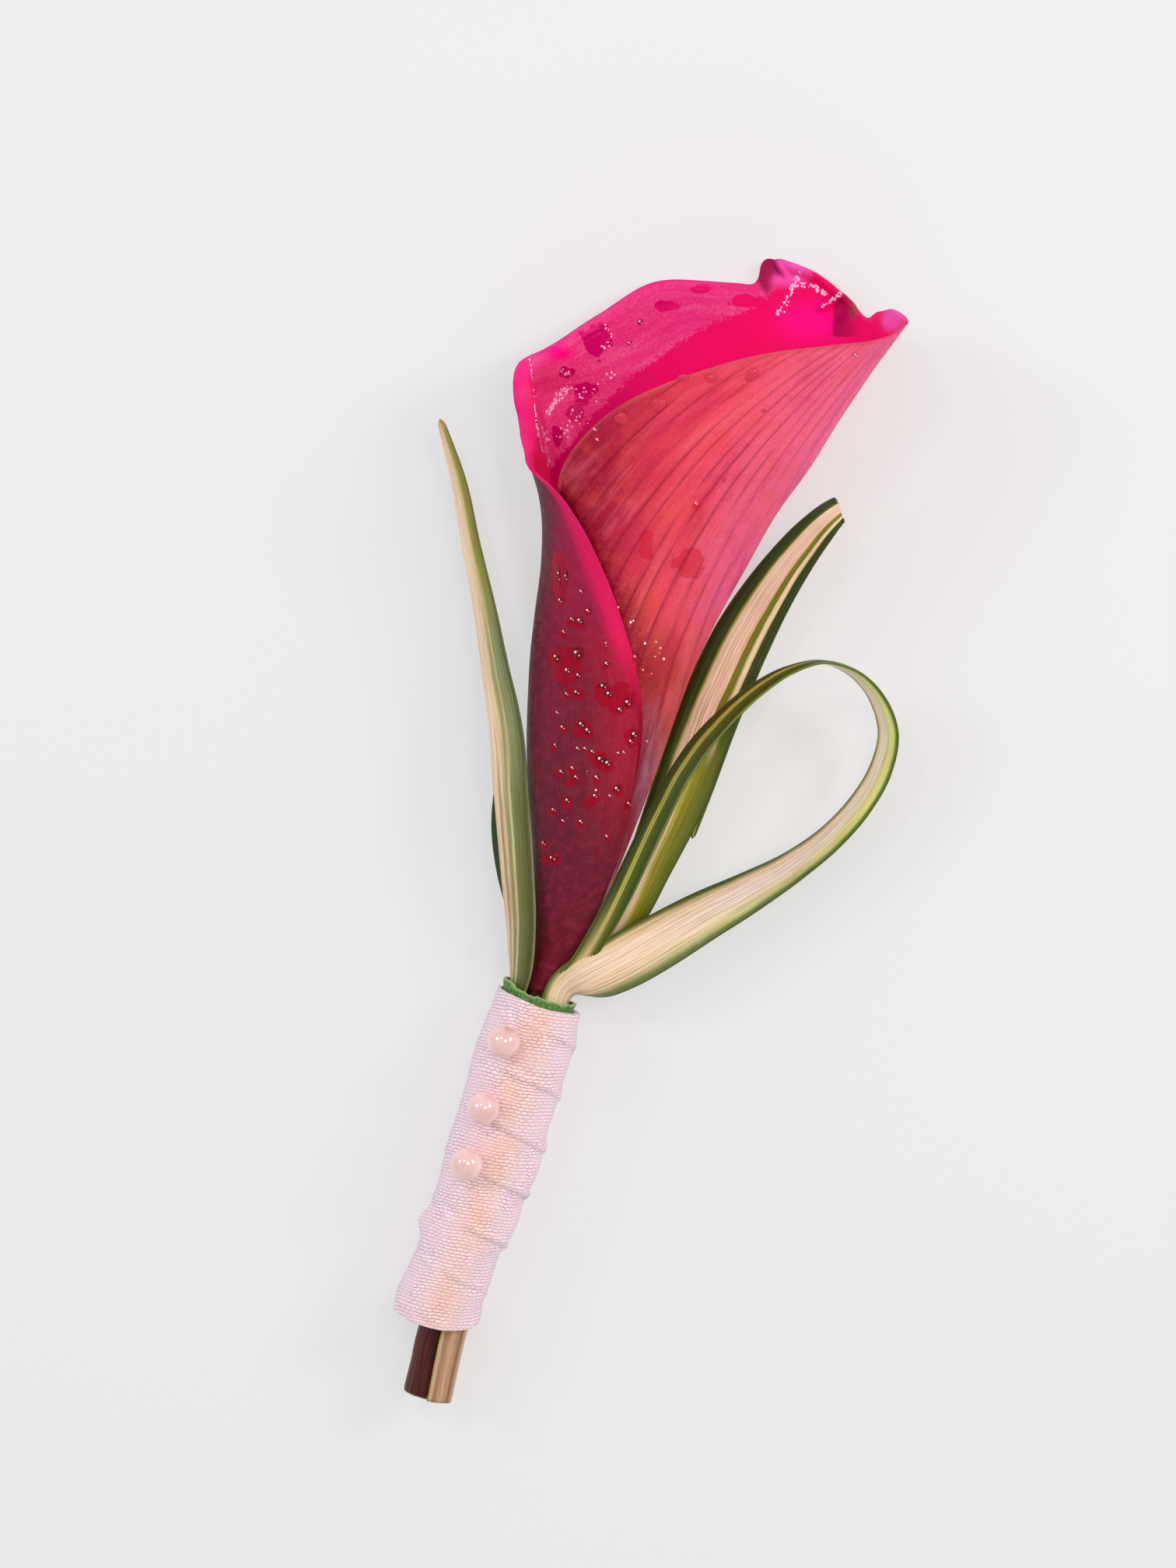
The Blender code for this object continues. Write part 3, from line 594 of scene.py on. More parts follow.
def petal_front(look, turn, along, number, speckle, cloud):
    """Front of the inner layer, from its pink right side to the crimson and painted shade under the outer
    layer.
    """
    front = look.ramp(look.times(turn, 1 / 180), FRONT_STOPS)
    front = look.mix(look.span(along, 0.42, 0.56), look.ramp(along, LOW_FRONT_STOPS), front)
    front = look.tint(front, look.span(cloud, 0.45, 0.7, 0.0, 0.5), PALE_CORAL)
    front = look.tint(front, look.span(cloud, 0.5, 0.3, 0.0, 0.35), ROSE)
    front = look.tint(front, look.times(look.value("olive"), 0.55), BRONZE)
    sweep = look.streaks(number, 0.9, along, 6.0, 5.0, 0.65)
    front = look.tint(front, look.span(sweep, 0.5, 0.68, 0.0, 0.45), SALMON)
    front = look.tint(front, look.span(sweep, 0.48, 0.32, 0.0, 0.5), RASPBERRY)
    # Painted shade of the outer layer: deep crimson beside its edge on the front
    shade = look.times(look.value("shade"), look.span(speckle, 0.3, 0.65, 1.0, 0.45))
    front = look.tint(front, shade, PAINTED_SHADE_CRIMSON)
    veiled = look.ramp(look.span(sweep, 0.35, 0.65), VEIL_STOPS)
    front = look.mix(look.times(look.value("lilac"), 0.75), front, veiled)
    return look.tint(front, look.span(look.value("rim_b"), 0.1, 0.9, 0.5, 0.0), DRY_EDGE)


def petal_flap(look, turn, along):
    """Outer layer: burgundy low down, mottled, with painted shade round its back, and the hot band beside its
    edge.
    """
    flap = look.ramp(along, FLAP_STOPS)
    beside_edge = look.times(look.span(look.value("rim_a"), 2.0, 8.0, 1.0, 0.0), look.span(along, 0.14, 0.36))
    flap = look.tint(flap, look.times(beside_edge, look.span(along, 0.42, 0.48, 0.6, 0.0)), (206, 38, 60))
    # Painted shade where the outer layer turns away round its back
    flap = look.tint(flap, look.span(turn, -234.0, -190.0, 0.0, 0.92), (60, 24, 36))
    specks = look.noise(look.place, 1.8, 3.0, 0.6)
    flap = look.tint(flap, look.span(specks, 0.6, 0.68, 0.0, 0.5), (100, 12, 36))
    mottle = look.noise(look.place, 0.9, 4.0, 0.7)
    flap = look.tint(flap, look.span(mottle, 0.42, 0.66, 0.0, 0.3), (176, 62, 88))
    return look.mix(look.value("band"), flap, look.ramp(along, BAND_STOPS))


def petal_veins(look, turn, along, number):
    """Strength of the veins, which run from the base to the tip and gather there."""
    drift = look.streaks(number, 0.3, along, 3.0)
    apart = look.from_line(look.times_add(drift, 0.9, number))
    core = look.span(apart, 0.02, 0.085, 1.0, 0.0)
    halo = look.span(apart, 0.0, 0.3, 0.4, 0.0)
    broken = look.streaks(number, 1.4, along, 7.0, 3.0)
    line = look.times(look.maths("MAXIMUM", core, halo), look.span(broken, 0.32, 0.6, 0.1, 0.85))
    line = look.times(line, look.span(look.value("band"), 0.0, 1.0, 1.0, 0.15))
    return look.times(line, look.span(turn, 10.0, 60.0, 0.6, 1.0))


def petal_inside(look, turn, speckle, cloud, wet, in_front):
    """Hot magenta, with a dry dusty film near the rim that ends in a ragged line."""
    s, t, _ = look.split(look.uv)
    inside = look.ramp(look.span(turn, -190.0, -50.0), INSIDE_STOPS)
    film = look.streaks(s, 36.0, t, 12.0, 4.0, 0.65)
    flecks = look.noise(look.place, 3.2, 4.0, 0.7)
    ragged = look.times_add(speckle, 1.3, look.times_add(film, 0.6, look.value("dust")))
    ragged = look.times_add(flecks, 0.9, ragged)
    dust = look.times(look.span(ragged, 1.3, 1.5), look.span(wet, 0.0, 1.0, 1.0, 0.0))
    dusty = look.ramp(look.times_add(flecks, 0.5, look.times(film, 0.5)), DUSTY_STOPS)
    dusty = look.tint(dusty, look.span(turn, -170.0, -80.0, 0.0, 0.4), (196, 18, 104))
    # Lighter pink towards the left lobe: painted glare on the film there
    dusty = look.tint(dusty, look.span(turn, -150.0, -185.0, 0.0, 0.5), (255, 112, 180))
    inside = look.mix(look.times(dust, 0.85), inside, dusty)
    inside = look.tint(inside, look.times(wet, look.span(in_front, 0.0, 1.0, 0.8, 0.0)), WET_INSIDE)
    # Lighter pink along the flared back rim: painted light where the rim catches it
    inside = look.tint(inside, look.span(look.value("rim_a"), 0.2, 1.8, 0.6, 0.0), (240, 40, 124))
    inside = look.tint(inside, look.value("hot"), (255, 0, 140))
    # Lavender pink at the curl and the hook: lighter pink of the rolled rim, partly painted glint sheen
    inside = look.tint(inside, look.value("pink"), (255, 96, 205))
    inside = look.mix(look.value("lip"), inside, look.ramp(cloud, LIP_STOPS))
    # Brown of the rim's underside in shade, painted on the inside beside the pleat
    inside = look.tint(inside, look.value("shaded_underside"), (150, 84, 66))
    # Painted shade inside the curl of the rim and in the pleat beside it
    return look.tint(inside, look.value("dark"), (150, 0, 62))


def petal_look():
    look = Look("Wet calla petal", Specular_IOR_Level=0.07)
    look.set(Subsurface_Weight=0.06, Subsurface_Radius=(1.0, 0.2, 0.3), Subsurface_Scale=1.0 * MM)
    face, turn, along, number = (look.value(name) for name in ("face", "turn", "along", "vein"))
    speckle = look.noise(look.place, 1.3, 5.0, 0.68)
    cloud = look.noise(look.place, 0.17, 4.0, 0.6)
    blob = look.noise(look.place, 0.5, 2.0)
    ragged_wet = look.times_add(speckle, 0.7, look.times_add(blob, 1.5, look.value("wet")))
    wet = look.span(ragged_wet, 1.12, 1.19)
    in_front = look.span(turn, -170.0, -60.0)
    front = petal_front(look, turn, along, number, speckle, cloud)
    outside = look.mix(in_front, petal_flap(look, turn, along), front)
    soaked = look.mix(in_front, colour(*WET_FLAP), colour(*WET_FRONT))
    outside = look.mix(look.times(wet, look.span(in_front, 0.0, 1.0, 0.75, 0.6)), outside, soaked)
    line = petal_veins(look, turn, along, number)
    outside = look.mix(line, outside, look.tint(outside, 0.7, VEIN_PLUM))
    # Fine fibres along the veins, and a downy grain over them
    fibre = look.streaks(number, 13.0, along, 16.0, 3.0)
    outside = look.mix(1.0, outside, look.ramp(fibre, FIBRE_STOPS), "MULTIPLY")
    down = look.noise(look.place, 2.6, 4.0, 0.75)
    outside = look.mix(0.8, outside, look.ramp(down, DOWN_STOPS), "MULTIPLY")
    look.set(Base_Color=look.mix(face, outside, petal_inside(look, turn, speckle, cloud, wet, in_front)))
    dry = look.mix(face, grey(0.46), grey(0.5))
    look.set(Roughness=look.mix(wet, dry, grey(0.14)))
    grain = look.noise(look.place, 2.2, 4.0, 0.65)
    height = look.times_add(line, -0.5, look.times_add(fibre, 0.5, grain))
    look.bump(look.times_add(wet, 0.8, height), 0.12, 0.55)
    return look.material


def zones(look, across, along, parts):
    """Stripes that change along the blade. Each part: where it takes over, and its stops across the blade."""
    shade = look.ramp(across, parts[0][1])
    for (low, high), stops in parts[1:]:
        shade = look.mix(look.span(along, low, high), shade, look.ramp(across, stops))
    return shade


def grass_look(name, face_parts, back_parts):
    """Striped leaf with fine lines. Stops run from one edge to the other."""
    look = Look(name, Roughness=0.4, Specular_IOR_Level=0.3)
    across, along, _ = look.split(look.uv)
    wander = look.noise(look.join(look.times(along, 0.2), 0.0), 1.0, 2.0)
    across = look.maths("ADD", across, look.times_add(wander, 0.05, -0.025))
    front = zones(look, across, along, face_parts)
    base = look.mix(look.value("face"), zones(look, across, along, back_parts), front)
    # Fine lines along the blade, some of them fading out
    shift = look.noise(look.join(look.times(along, 0.05), 3.0), 1.0, 1.0)
    thin = look.span(look.from_line(look.times_add(across, 17.0, shift)), 0.03, 0.16, 1.0, 0.0)
    fading = look.streaks(across, 12.0, along, 0.06)
    thin = look.times(thin, look.span(fading, 0.35, 0.6, 0.1, 0.8))
    base = look.mix(thin, base, look.tint(base, 0.7, (104, 104, 34)))
    streak = look.streaks(across, 40.0, along, 0.16, 3.0, 0.6)
    tone = look.ramp(streak, ((0.32, (214, 206, 188)), (0.5, (250, 248, 244)), (0.62, (255, 255, 255))))
    base = look.mix(0.8, base, tone, "MULTIPLY")
    speck = look.noise(look.place, 2.2, 4.0, 0.65)
    look.set(Base_Color=look.tint(base, look.span(speck, 0.6, 0.8, 0.0, 0.14), (90, 92, 30)))
    look.bump(look.times_add(thin, -0.6, look.times_add(speck, 0.4, streak)), 0.06, 0.6)
    return look.material


CREPE_STOPS = ((0.36, (38, 88, 30)), (0.48, (84, 146, 66)), (0.6, (138, 184, 108)), (0.7, (190, 212, 160)))
THREAD_SHADING_STOPS = (
    (0.3, (204, 152, 178)), (0.55, (246, 208, 222)), (0.8, (255, 232, 240)), (1.0, (255, 248, 250)),
)


def tape_look():
    look = Look("Crepe stem tape", Roughness=0.62, Specular_IOR_Level=0.3)
    round_it, along, _ = look.split(look.uv)
    fold = look.streaks(round_it, 70.0, along, 4.0, 4.0)
    grain = look.noise(look.place, 2.6, 5.0, 0.75)
    tone = look.times_add(grain, 0.55, look.times(fold, 0.45))
    look.set(Base_Color=look.tint(look.ramp(tone, CREPE_STOPS), look.value("edge"), (184, 206, 150)))
    look.bump(tone, 0.3, 0.9)
    return look.material


def satin_look():
    """Satin: short floats laid side by side in rows, which run round the handle with the ribbon."""
    look = Look("Pink satin", Roughness=0.3, Specular_IOR_Level=0.8, Sheen_Weight=0.6, Sheen_Roughness=0.3)
    look.set(Sheen_Tint=colour(222, 204, 255))
    round_it, along, _ = look.split(look.uv)
    sway = look.noise(look.place, 0.3, 2.0)
    rows = look.times_add(round_it, 0.1, look.times_add(sway, 0.8, along))
    row_at = look.times(rows, 1 / WEAVE_PITCH)
    row = look.maths("FLOOR", row_at)
    uneven = look.streaks(row, 7.3, round_it, 0.8)
    float_at = look.times_add(round_it, 1 / FLOAT_LENGTH, look.times(row, 0.43))
    float_at = look.times_add(uneven, 1.2, float_at)
    thread = look.times(look.hump(row_at, 0.6), look.hump(float_at, 0.3))
    # Painted highlights on the tops of the floats and painted shade in the gaps between them
    shade = look.ramp(look.times_add(uneven, 0.35, look.times(thread, 0.8)), THREAD_SHADING_STOPS)
    calm = look.noise(look.place, 0.35, 2.0)
    shade = look.tint(shade, look.span(calm, 0.35, 0.65, 0.6, 0.0), (252, 220, 230))
    glow = look.noise(look.place, 0.22, 3.0)
    # Painted peach sheen of a warm light along the top of the handle
    warm = look.times(look.value("warm"), look.span(glow, 0.3, 0.6, 0.5, 0.95))
    peach = look.mix(1.0, shade, colour(255, 236, 206), "MULTIPLY")
    look.set(Base_Color=look.mix(warm, shade, peach))
    look.bump(thread, 0.09, 0.8)
    return look.material


def pearl_look():
    look = Look("Pink imitation pearl", Roughness=0.2, Specular_IOR_Level=0.6, Coat_Weight=1.0, Coat_IOR=2.1)
    look.set(Coat_Roughness=0.04, Sheen_Weight=0.3, Sheen_Tint=colour(255, 226, 240))
    look.set(Subsurface_Weight=0.3, Subsurface_Radius=(1.0, 0.6, 0.5), Subsurface_Scale=1.0 * MM)
    swirl = look.noise(look.place, 0.5, 2.0)
    look.set(Base_Color=look.ramp(swirl, ((0.3, (244, 190, 182)), (0.7, (255, 214, 210)))))
    return look.material


def stem_look():
    look = Look("Burgundy calla stem", Roughness=0.3, Specular_IOR_Level=0.3)
    round_it, along, _ = look.split(look.uv)
    streak = look.streaks(round_it, 9.0, along, 0.12, 4.0)
    skin = look.ramp(streak, ((0.3, (44, 10, 10)), (0.55, (84, 24, 20)), (0.72, (140, 60, 48))))
    cut = look.ramp(look.noise(look.place, 1.6, 3.0), ((0.3, (120, 86, 60)), (0.7, (176, 140, 104))))
    look.set(Base_Color=look.mix(look.value("cut"), skin, cut))
    look.bump(streak, 0.1, 0.6)
    return look.material


def spadix_look():
    look = Look("Pollen spadix", Roughness=0.75)
    grain = look.noise(look.place, 2.5, 3.0)
    look.set(Base_Color=look.ramp(grain, ((0.3, (214, 150, 40)), (0.7, (246, 206, 96)))))
    look.bump(grain, 0.1, 0.6)
    return look.material


def steel_look():
    look = Look("Pin steel", Metallic=1.0, Roughness=0.25)
    grain = look.noise(look.place, 4.0, 2.0)
    look.set(Base_Color=look.ramp(grain, ((0.3, (176, 176, 182)), (0.7, (206, 206, 212)))))
    return look.material


def water_look():
    """Clear water that deepens the colour of the petal under it. Fine droplets are painted white and lavender
    glints.
    """
    look = Look("Water drop", Roughness=0.05, IOR=1.33)
    fine = look.value("fine")
    swirl = look.noise(look.place, 1.5, 2.0)
    body = look.mix(look.span(swirl, 0.35, 0.65), colour(98, 0, 16), colour(156, 0, 32))
    body = look.mix(look.value("front"), body, colour(232, 62, 88))
    body = look.mix(look.value("inside"), body, colour(186, 0, 90))
    # Painted glints: white, and lavender on the inside
    glint = look.mix(look.value("inside"), colour(255, 244, 250), colour(250, 214, 255))
    look.set(Base_Color=look.mix(fine, body, glint))
    look.set(Alpha=look.maths("MULTIPLY_ADD", fine, 0.25, 0.75))
    return look.material


# Bloom


def funnel(y):
    """Middle and radii of the funnel that the sheet's middle surface follows, where its offset is nil."""
    table = np.array(FUNNEL)
    left, right, back, front = np.moveaxis(smooth(y, table[:, 0], table[:, 1:]), -1, 0)
    middle_x = (left + right) / 2 + LAYER_PITCH / 4
    radius_x = (right - left) / 2 - SPATHE_THICKNESS / 2
    radius_z = (front - back - SPATHE_THICKNESS) / 2
    return middle_x, (back + front) / 2, radius_x, radius_z


def bloom_point(theta, y):
    """Point on the rolled sheet. Theta counts degrees from the right side. Each turn lies inside the last."""
    middle_x, middle_z, radius_x, radius_z = funnel(y)
    pitch = LAYER_PITCH * np.clip((y - PITCH_START) / PITCH_RISE, LEAST_PITCH, 1.0)
    offset = -pitch * (theta + 90) / 360
    angle = np.radians(theta)
    x = middle_x + (radius_x + offset) * np.cos(angle)
    z = middle_z + (radius_z + offset) * np.sin(angle)
    z = np.maximum(z - BACK_FLAT, SPATHE_THICKNESS / 2)
    return np.stack((x, y, z), axis=-1)


def edge_angles(edge, turn):
    """Share of the way, distance along and theta of each row of an edge table."""
    share, x, y, side = np.array(edge).T
    middle_x, _, radius_x, _ = funnel(y)
    angle = np.degrees(np.arccos(np.clip((x - middle_x) / radius_x, -1, 1)))
    if turn:
        return share, y, np.where(side > 0, angle - 360, -angle)
    return share, y, angle


def bloom_angles(s, t):
    """Theta and distance along at each share across and along the sheet."""
    outer_share, outer_y, outer_theta = edge_angles(OUTER_EDGE, turn=True)
    inner_share, inner_y, inner_theta = edge_angles(INNER_EDGE, turn=False)
    y_outer, theta_outer = (smooth(t, outer_share, row) for row in (outer_y, outer_theta))
    y_inner, theta_inner = (smooth(t, inner_share, row) for row in (inner_y, inner_theta))
    y_soft, theta_soft = (
        smooth(t, SOFT_SHARES, smooth(SOFT_SHARES, outer_share, row)) for row in (outer_y, outer_theta)
    )
    rise = THROAT_Y + (TIP_Y - THROAT_Y) * (t - THROAT) / (1 - THROAT)
    sag = np.where(t > THROAT, (y_soft + y_inner) / 2 - rise, 0.0)
    near = 1 - fade(s, 0.0, FOLD_REACH)
    y = y_soft * (1 - s) + y_inner * s - 4 * s * (1 - s) * sag + (y_outer - y_soft) * near
    theta = theta_soft * (1 - s) + theta_inner * s + (theta_outer - theta_soft) * near
    return theta, y


def lengths_from(grid, column):
    """Distance of each point from the first or last point of its row, along the row."""
    steps = np.linalg.norm(np.diff(grid, axis=1), axis=2)
    total = np.concatenate((np.zeros((len(grid), 1)), np.cumsum(steps, axis=1)), axis=1)
    return total if column == 0 else total[:, -1:] - total


def roll_edge(grid, width, radius, outward):
    """Rolls the margin at column 0 outward, each row by its own width and radius."""
    rolled = grid.copy()
    reach = lengths_from(grid, 0)
    for i, (w, r) in enumerate(zip(width, radius)):
        if w < LEAST_ROLL:
            continue
        turned = reach[i] < w
        start = np.array([np.interp(w, reach[i], grid[i, :, k]) for k in range(3)])
        beyond = np.array([np.interp(w + ROLL_PROBE, reach[i], grid[i, :, k]) for k in range(3)])
        up = unit(np.array([np.interp(w, reach[i], outward[i, :, k]) for k in range(3)]))
        ahead = start - beyond
        ahead = unit(ahead - up * np.dot(ahead, up))
        angle = ((w - reach[i, turned]) / r)[:, None]
        rolled[i, turned] = start + r * (np.sin(angle) * ahead + (1 - np.cos(angle)) * up)
    return rolled


def outward_normals(grid):
    return -unit(np.cross(np.gradient(grid, axis=1), np.gradient(grid, axis=0)))


def photo_pixels(points):
    """Where points in the handle's frame fall in the photograph."""
    across = PIXEL * (CAMERA_HEIGHT - points[..., 2]) / (CAMERA_HEIGHT - PIXEL_PLANE)
    offset = points - (*CAMERA_AIM, 0.0)
    right, up = offset @ PICTURE_RIGHT, offset @ PICTURE_UP
    return PHOTO_WIDTH / 2 + right / across, PHOTO_HEIGHT / 2 - up / across


def spot_field(px, py, spots):
    """1 in the middle of a spot, 0 on its outline and -1 away from it."""
    field = np.full(px.shape, -1.0)
    for x, y, wide, high in spots:
        field = np.maximum(field, 1 - np.hypot((px - x) / wide, (py - y) / high))
    return field


def vein_field(px, py, s, theta):
    """Number of the vein at each point. On the front the veins spread from the tip and bend down."""
    right, down = px - TIP_PIXEL[0], py - TIP_PIXEL[1]
    reach = np.hypot(right, down)
    slope = np.degrees(np.arctan2(down, -right))
    bend = VEIN_BEND * reach * (1 - fade(slope - VEIN_HOLD * reach, 0.0, VEIN_STRAIGHT))
    front = VEIN_START + (bend - slope) / VEIN_SPREAD
    # Past the right side, where the petal turns away from the camera, the numbers go on evenly
    side = (np.arange(len(s)), np.argmin(np.abs(theta - VEIN_SIDE), axis=1))
    past = front[side][:, None] + VEINS * (s - s[side][:, None])
    front = np.where(theta < VEIN_SIDE, past, front)
    on_front = fade(theta, *VEIN_CHANGE)
    return VEINS * s * (1 - on_front) + front * on_front


def fold_shade(px, py, t, rim_a):
    """Depth of the shade painted inside the curl of the rim and in the pleat beside it."""
    curl_from, curl_to = CURL_SHADE
    in_curl = fade(t, curl_from, curl_from + 0.002) * (t < curl_to) * (1 - fade(rim_a, 1.6, 3.0))
    _, right = beside_pleat(px, py)
    in_pleat = fade(px, *PLEAT_SHADE_START) * (1 - fade(px, *PLEAT_SHADE_END)) * fade(right, 0, 4)
    in_pleat = in_pleat * (py < PLEAT_SHADE_LOW) * (t > PLEAT_FROM)
    return np.maximum(0.78 * in_curl, 0.75 * in_pleat)


def petal_masks(grid, theta, y, s, t, rim_a):
    """Where the petal is wet, dusty, shaded or of another pink, and the number of the vein there."""
    px, py = photo_pixels(grid)
    inner = fade(theta, -30.0, 30.0)
    layers = {"inner": inner, "outer": 1 - inner}
    beside = px - read_table(py, OVERLAP_LINE, key=1, column=0)
    lip = read_table(py, LIP_LINE, key=1, column=0) - px
    under_drops = []
    for drop_x, drop_y, half_width, half_length in DROPS:
        if drop_y > WET_TOP:
            wide, high = WET_SHARE * half_width / PIXEL, WET_SHARE * half_length / PIXEL
            under_drops.append((drop_x, drop_y + WET_DROOP, wide, high))
    masks = {
        "wet": spot_field(px, py, (*WET_SPOTS, *under_drops)),
        "dark": fold_shade(px, py, t, rim_a) * layers["outer"],
        "dust": np.clip((read_table(px, DUST_LINE) - py) / DUST_FADE, -1.0, 1.0),
        "lilac": inner * (1 - fade(beside, *LILAC_REACH)) * fade(py, *LILAC_TOP),
        # Painted shade on the front beside the edge of the outer layer
        "shade": inner * (1 - fade(beside, *SHADE_REACH)) * fade(y, *SHADE_START),
        "lip": fade(lip, -2.0, 3.0) * layers["outer"] * (py > LIP_TOP) * (py < LIP_LOW),
        "band": 1 - fade(rim_a / read_table(y, BAND), 0.45, 1.35),
        "vein": vein_field(px, py, s, theta),
    }
    for name, (spots, low, high, strength, layer) in COLOUR_SPOTS.items():
        masks[name] = strength * fade(spot_field(px, py, spots), low, high) * layers[layer]
    return masks


def beside_pleat(px, py):
    """Distance along the pleat's crease and to the right of it, in pixels."""
    (x0, y0), (x1, y1) = PLEAT_LINE
    length = math.hypot(x1 - x0, y1 - y0)
    u, v = (x1 - x0) / length, (y1 - y0) / length
    return (px - x0) * u + (py - y0) * v, (py - y0) * u - (px - x0) * v


def fold_rim(grid, outward, t, reach):
    """Stands the rim up at the curl, pulled sideways over its own foot, and makes the pleat beside it."""
    up = fade(t, *CURL_FOLD) * (1 - fade(t, *CURL_CLOSE)) * (1 - fade(reach, *CURL_REACH))
    along, right = beside_pleat(*photo_pixels(grid))
    near = fade(along, *PLEAT_START) * (1 - fade(along, *PLEAT_END)) * (t > PLEAT_FROM)
    shift = CURL_LIFT * up + PLEAT_LIFT * near * bell(right, 0.0, PLEAT_WIDTH)
    shift -= PLEAT_DEPTH * near * fade(right, *HOLLOW_START) * (1 - fade(right, *HOLLOW_END))
    sideways = -unit(np.gradient(grid, axis=0))
    over = CURL_SHIFT * up * (1 - fade(t, CURL_FOLD[1], CURL_SHIFT_END))
    return grid - outward * shift[..., None] + sideways * over[..., None]


def sheet_rows():
    """Share of the way at each row of the sheet, from its sleeve at the base up to the tip."""
    bands = [np.linspace(0.0, LOWER_SHARE, LOWER_ROWS)]
    for last, rows in UPPER_ROWS:
        bands.append(np.linspace(bands[-1][-1], last, rows + 1)[1:])
    return np.concatenate([np.zeros(SLEEVE_ROWS), *bands])[:, None]


def sheet_columns(t, width, radius):
    """Shares across each row, closer at its edges. They start before the edge where a roll needs width."""
    u = np.linspace(0.0, 1.0, SPATHE_COLUMNS)
    u = u - COLUMN_BIAS * np.sin(2 * math.pi * u)
    flat = bloom_point(*bloom_angles(u[None, :], t))
    spare = width - radius * np.sin(np.minimum(width / radius, math.pi / 2))
    speed = lengths_from(flat, 0)[:, 3] / u[3]
    first = (-spare / speed)[:, None]
    return first + (1 - first) * u[None, :]


def petal_waves(theta, y):
    """Height of the soft waves over the petal, in millimetres."""
    waves = 0.16 * np.sin(theta * 0.05 + y * 0.11) * np.sin(y * 0.16 + 1.0)
    waves += 0.09 * np.sin(theta * 0.11 - y * 0.21)
    return waves * fade(y, 22, 40)


def make_spathe():
    t = sheet_rows()
    width, radius = (read_table(t[:, 0], ROLL, column=column) for column in (1, 2))
    s = sheet_columns(t, width, radius)
    theta, y = bloom_angles(s, t)
    y[:SLEEVE_ROWS] = np.linspace(SLEEVE_Y, BASE_Y, SLEEVE_ROWS, endpoint=False)[:, None]
    grid = bloom_point(theta, y)
    rim_a, rim_b = lengths_from(grid, 0), lengths_from(grid, -1)
    lean = read_table(t, LEAN) * (1 - fade(rim_a, *LEAN_REACH))
    grid = grid + outward_normals(grid) * (petal_waves(theta, y) - lean)[..., None]
    outward = outward_normals(grid)
    grid = roll_edge(grid, width, radius, outward)
    flare = np.where(t[:, 0] > FLARE_FROM, RIM_FLARE[0], 0.0)
    back = roll_edge(grid[:, ::-1], flare, np.full(len(t), RIM_FLARE[1]), outward[:, ::-1])
    grid = fold_rim(back[:, ::-1], outward, t, rim_a)
    thickness = PETAL_RIM + (PETAL_THICKNESS - PETAL_RIM) * fade(np.minimum(rim_a, rim_b), 0.0, 1.6)
    uv = np.stack((s, np.broadcast_to(t, s.shape)), axis=-1)
    values = {"turn": theta, "along": y / 100, "rim_a": rim_a, "rim_b": rim_b}
    values.update(petal_masks(grid, theta, y, s, t, rim_a))
    piece = slab("calla_bloom", grid, thickness, petal_look(), uv, values, floor=FLOOR_GAP)
    return place(face_outward(piece), "spathe", "calla_spathe")


def make_spadix():
    table = np.array(SPADIX)
    y = np.linspace(table[0, 0], table[-1, 0], SPADIX_ROWS)[:, None]
    angle = ring_angles(SPADIX_SIDES)
    radius = smooth(y, table[:, 0], table[:, 1])
    middle_x, middle_z, _, _ = funnel(y)
    florets = np.abs(np.sin(4 * angle + 2.1 * y) * np.sin(4 * angle - 2.1 * y))
    reach = radius + FLORET_RELIEF * (florets - 0.5) * fade(radius, 1.2, 1.8)
    rings, uv = round_rings(middle_x, middle_z, y, reach, angle)
    piece = tube("pollen_spadix", rings, spadix_look(), uv)
    return place(face_outward(piece), "spadix", "calla_spadix")


def make_stem():
    angle = ring_angles(STEM_SIDES)
    stations = [(CUT_END + up, more, STEM_X + share * CUT_DRIFT) for up, more, share in CUT_ROWS]
    stations += [(y, more, STEM_X) for y, more in STEM_ROWS]
    last = len(stations) - 1
    fine = np.linspace(0, last, 12 * last + 1)
    rows = smooth(fine, np.arange(last + 1), np.array(stations))
    y, radius, middle = rows[:, :1], STEM_RADIUS + rows[:, 1:2], rows[:, 2:3]
    ridges = 0.05 * np.sin(7 * angle + 0.3 * np.sin(y * 0.3)) + 0.03 * np.sin(17 * angle + 1)
    rings, uv = round_rings(middle, HANDLE_Z, y, radius * (1 + ridges / STEM_RADIUS), angle)
    cut = np.broadcast_to((fine < CUT_FACE)[:, None], rings.shape[:2]).astype(float)
    piece = tube("burgundy_stem", rings, stem_look(), uv, {"cut": cut})
    return place(face_outward(piece), "stem", "calla_stem")


# Grass blades


def held(y, angle, radius, width, heading=1, middle_x=0.0):
    """Blade station inside the wraps, curved round the stem at an angle from the right side."""
    x = middle_x + radius * math.cos(math.radians(angle))
    z = HANDLE_Z + radius * math.sin(math.radians(angle))
    roll = angle - 90 if heading > 0 else 270 - angle
    return (x, y, z, width, roll, heading / radius)


def level_sides(tangent):
    """Sideways direction at each step of a path: level where the path isn't steep, and never jumping over."""
    sides = []
    for heading in tangent:
        level = np.cross(heading, (0.0, 0.0, 1.0))
        if sides and np.linalg.norm(level) < 0.5:
            level = sides[-1] - heading * np.dot(sides[-1], heading)
        if sides and np.dot(level, sides[-1]) < 0:
            level = -level
        sides.append(unit(level))
    return np.array(sides)


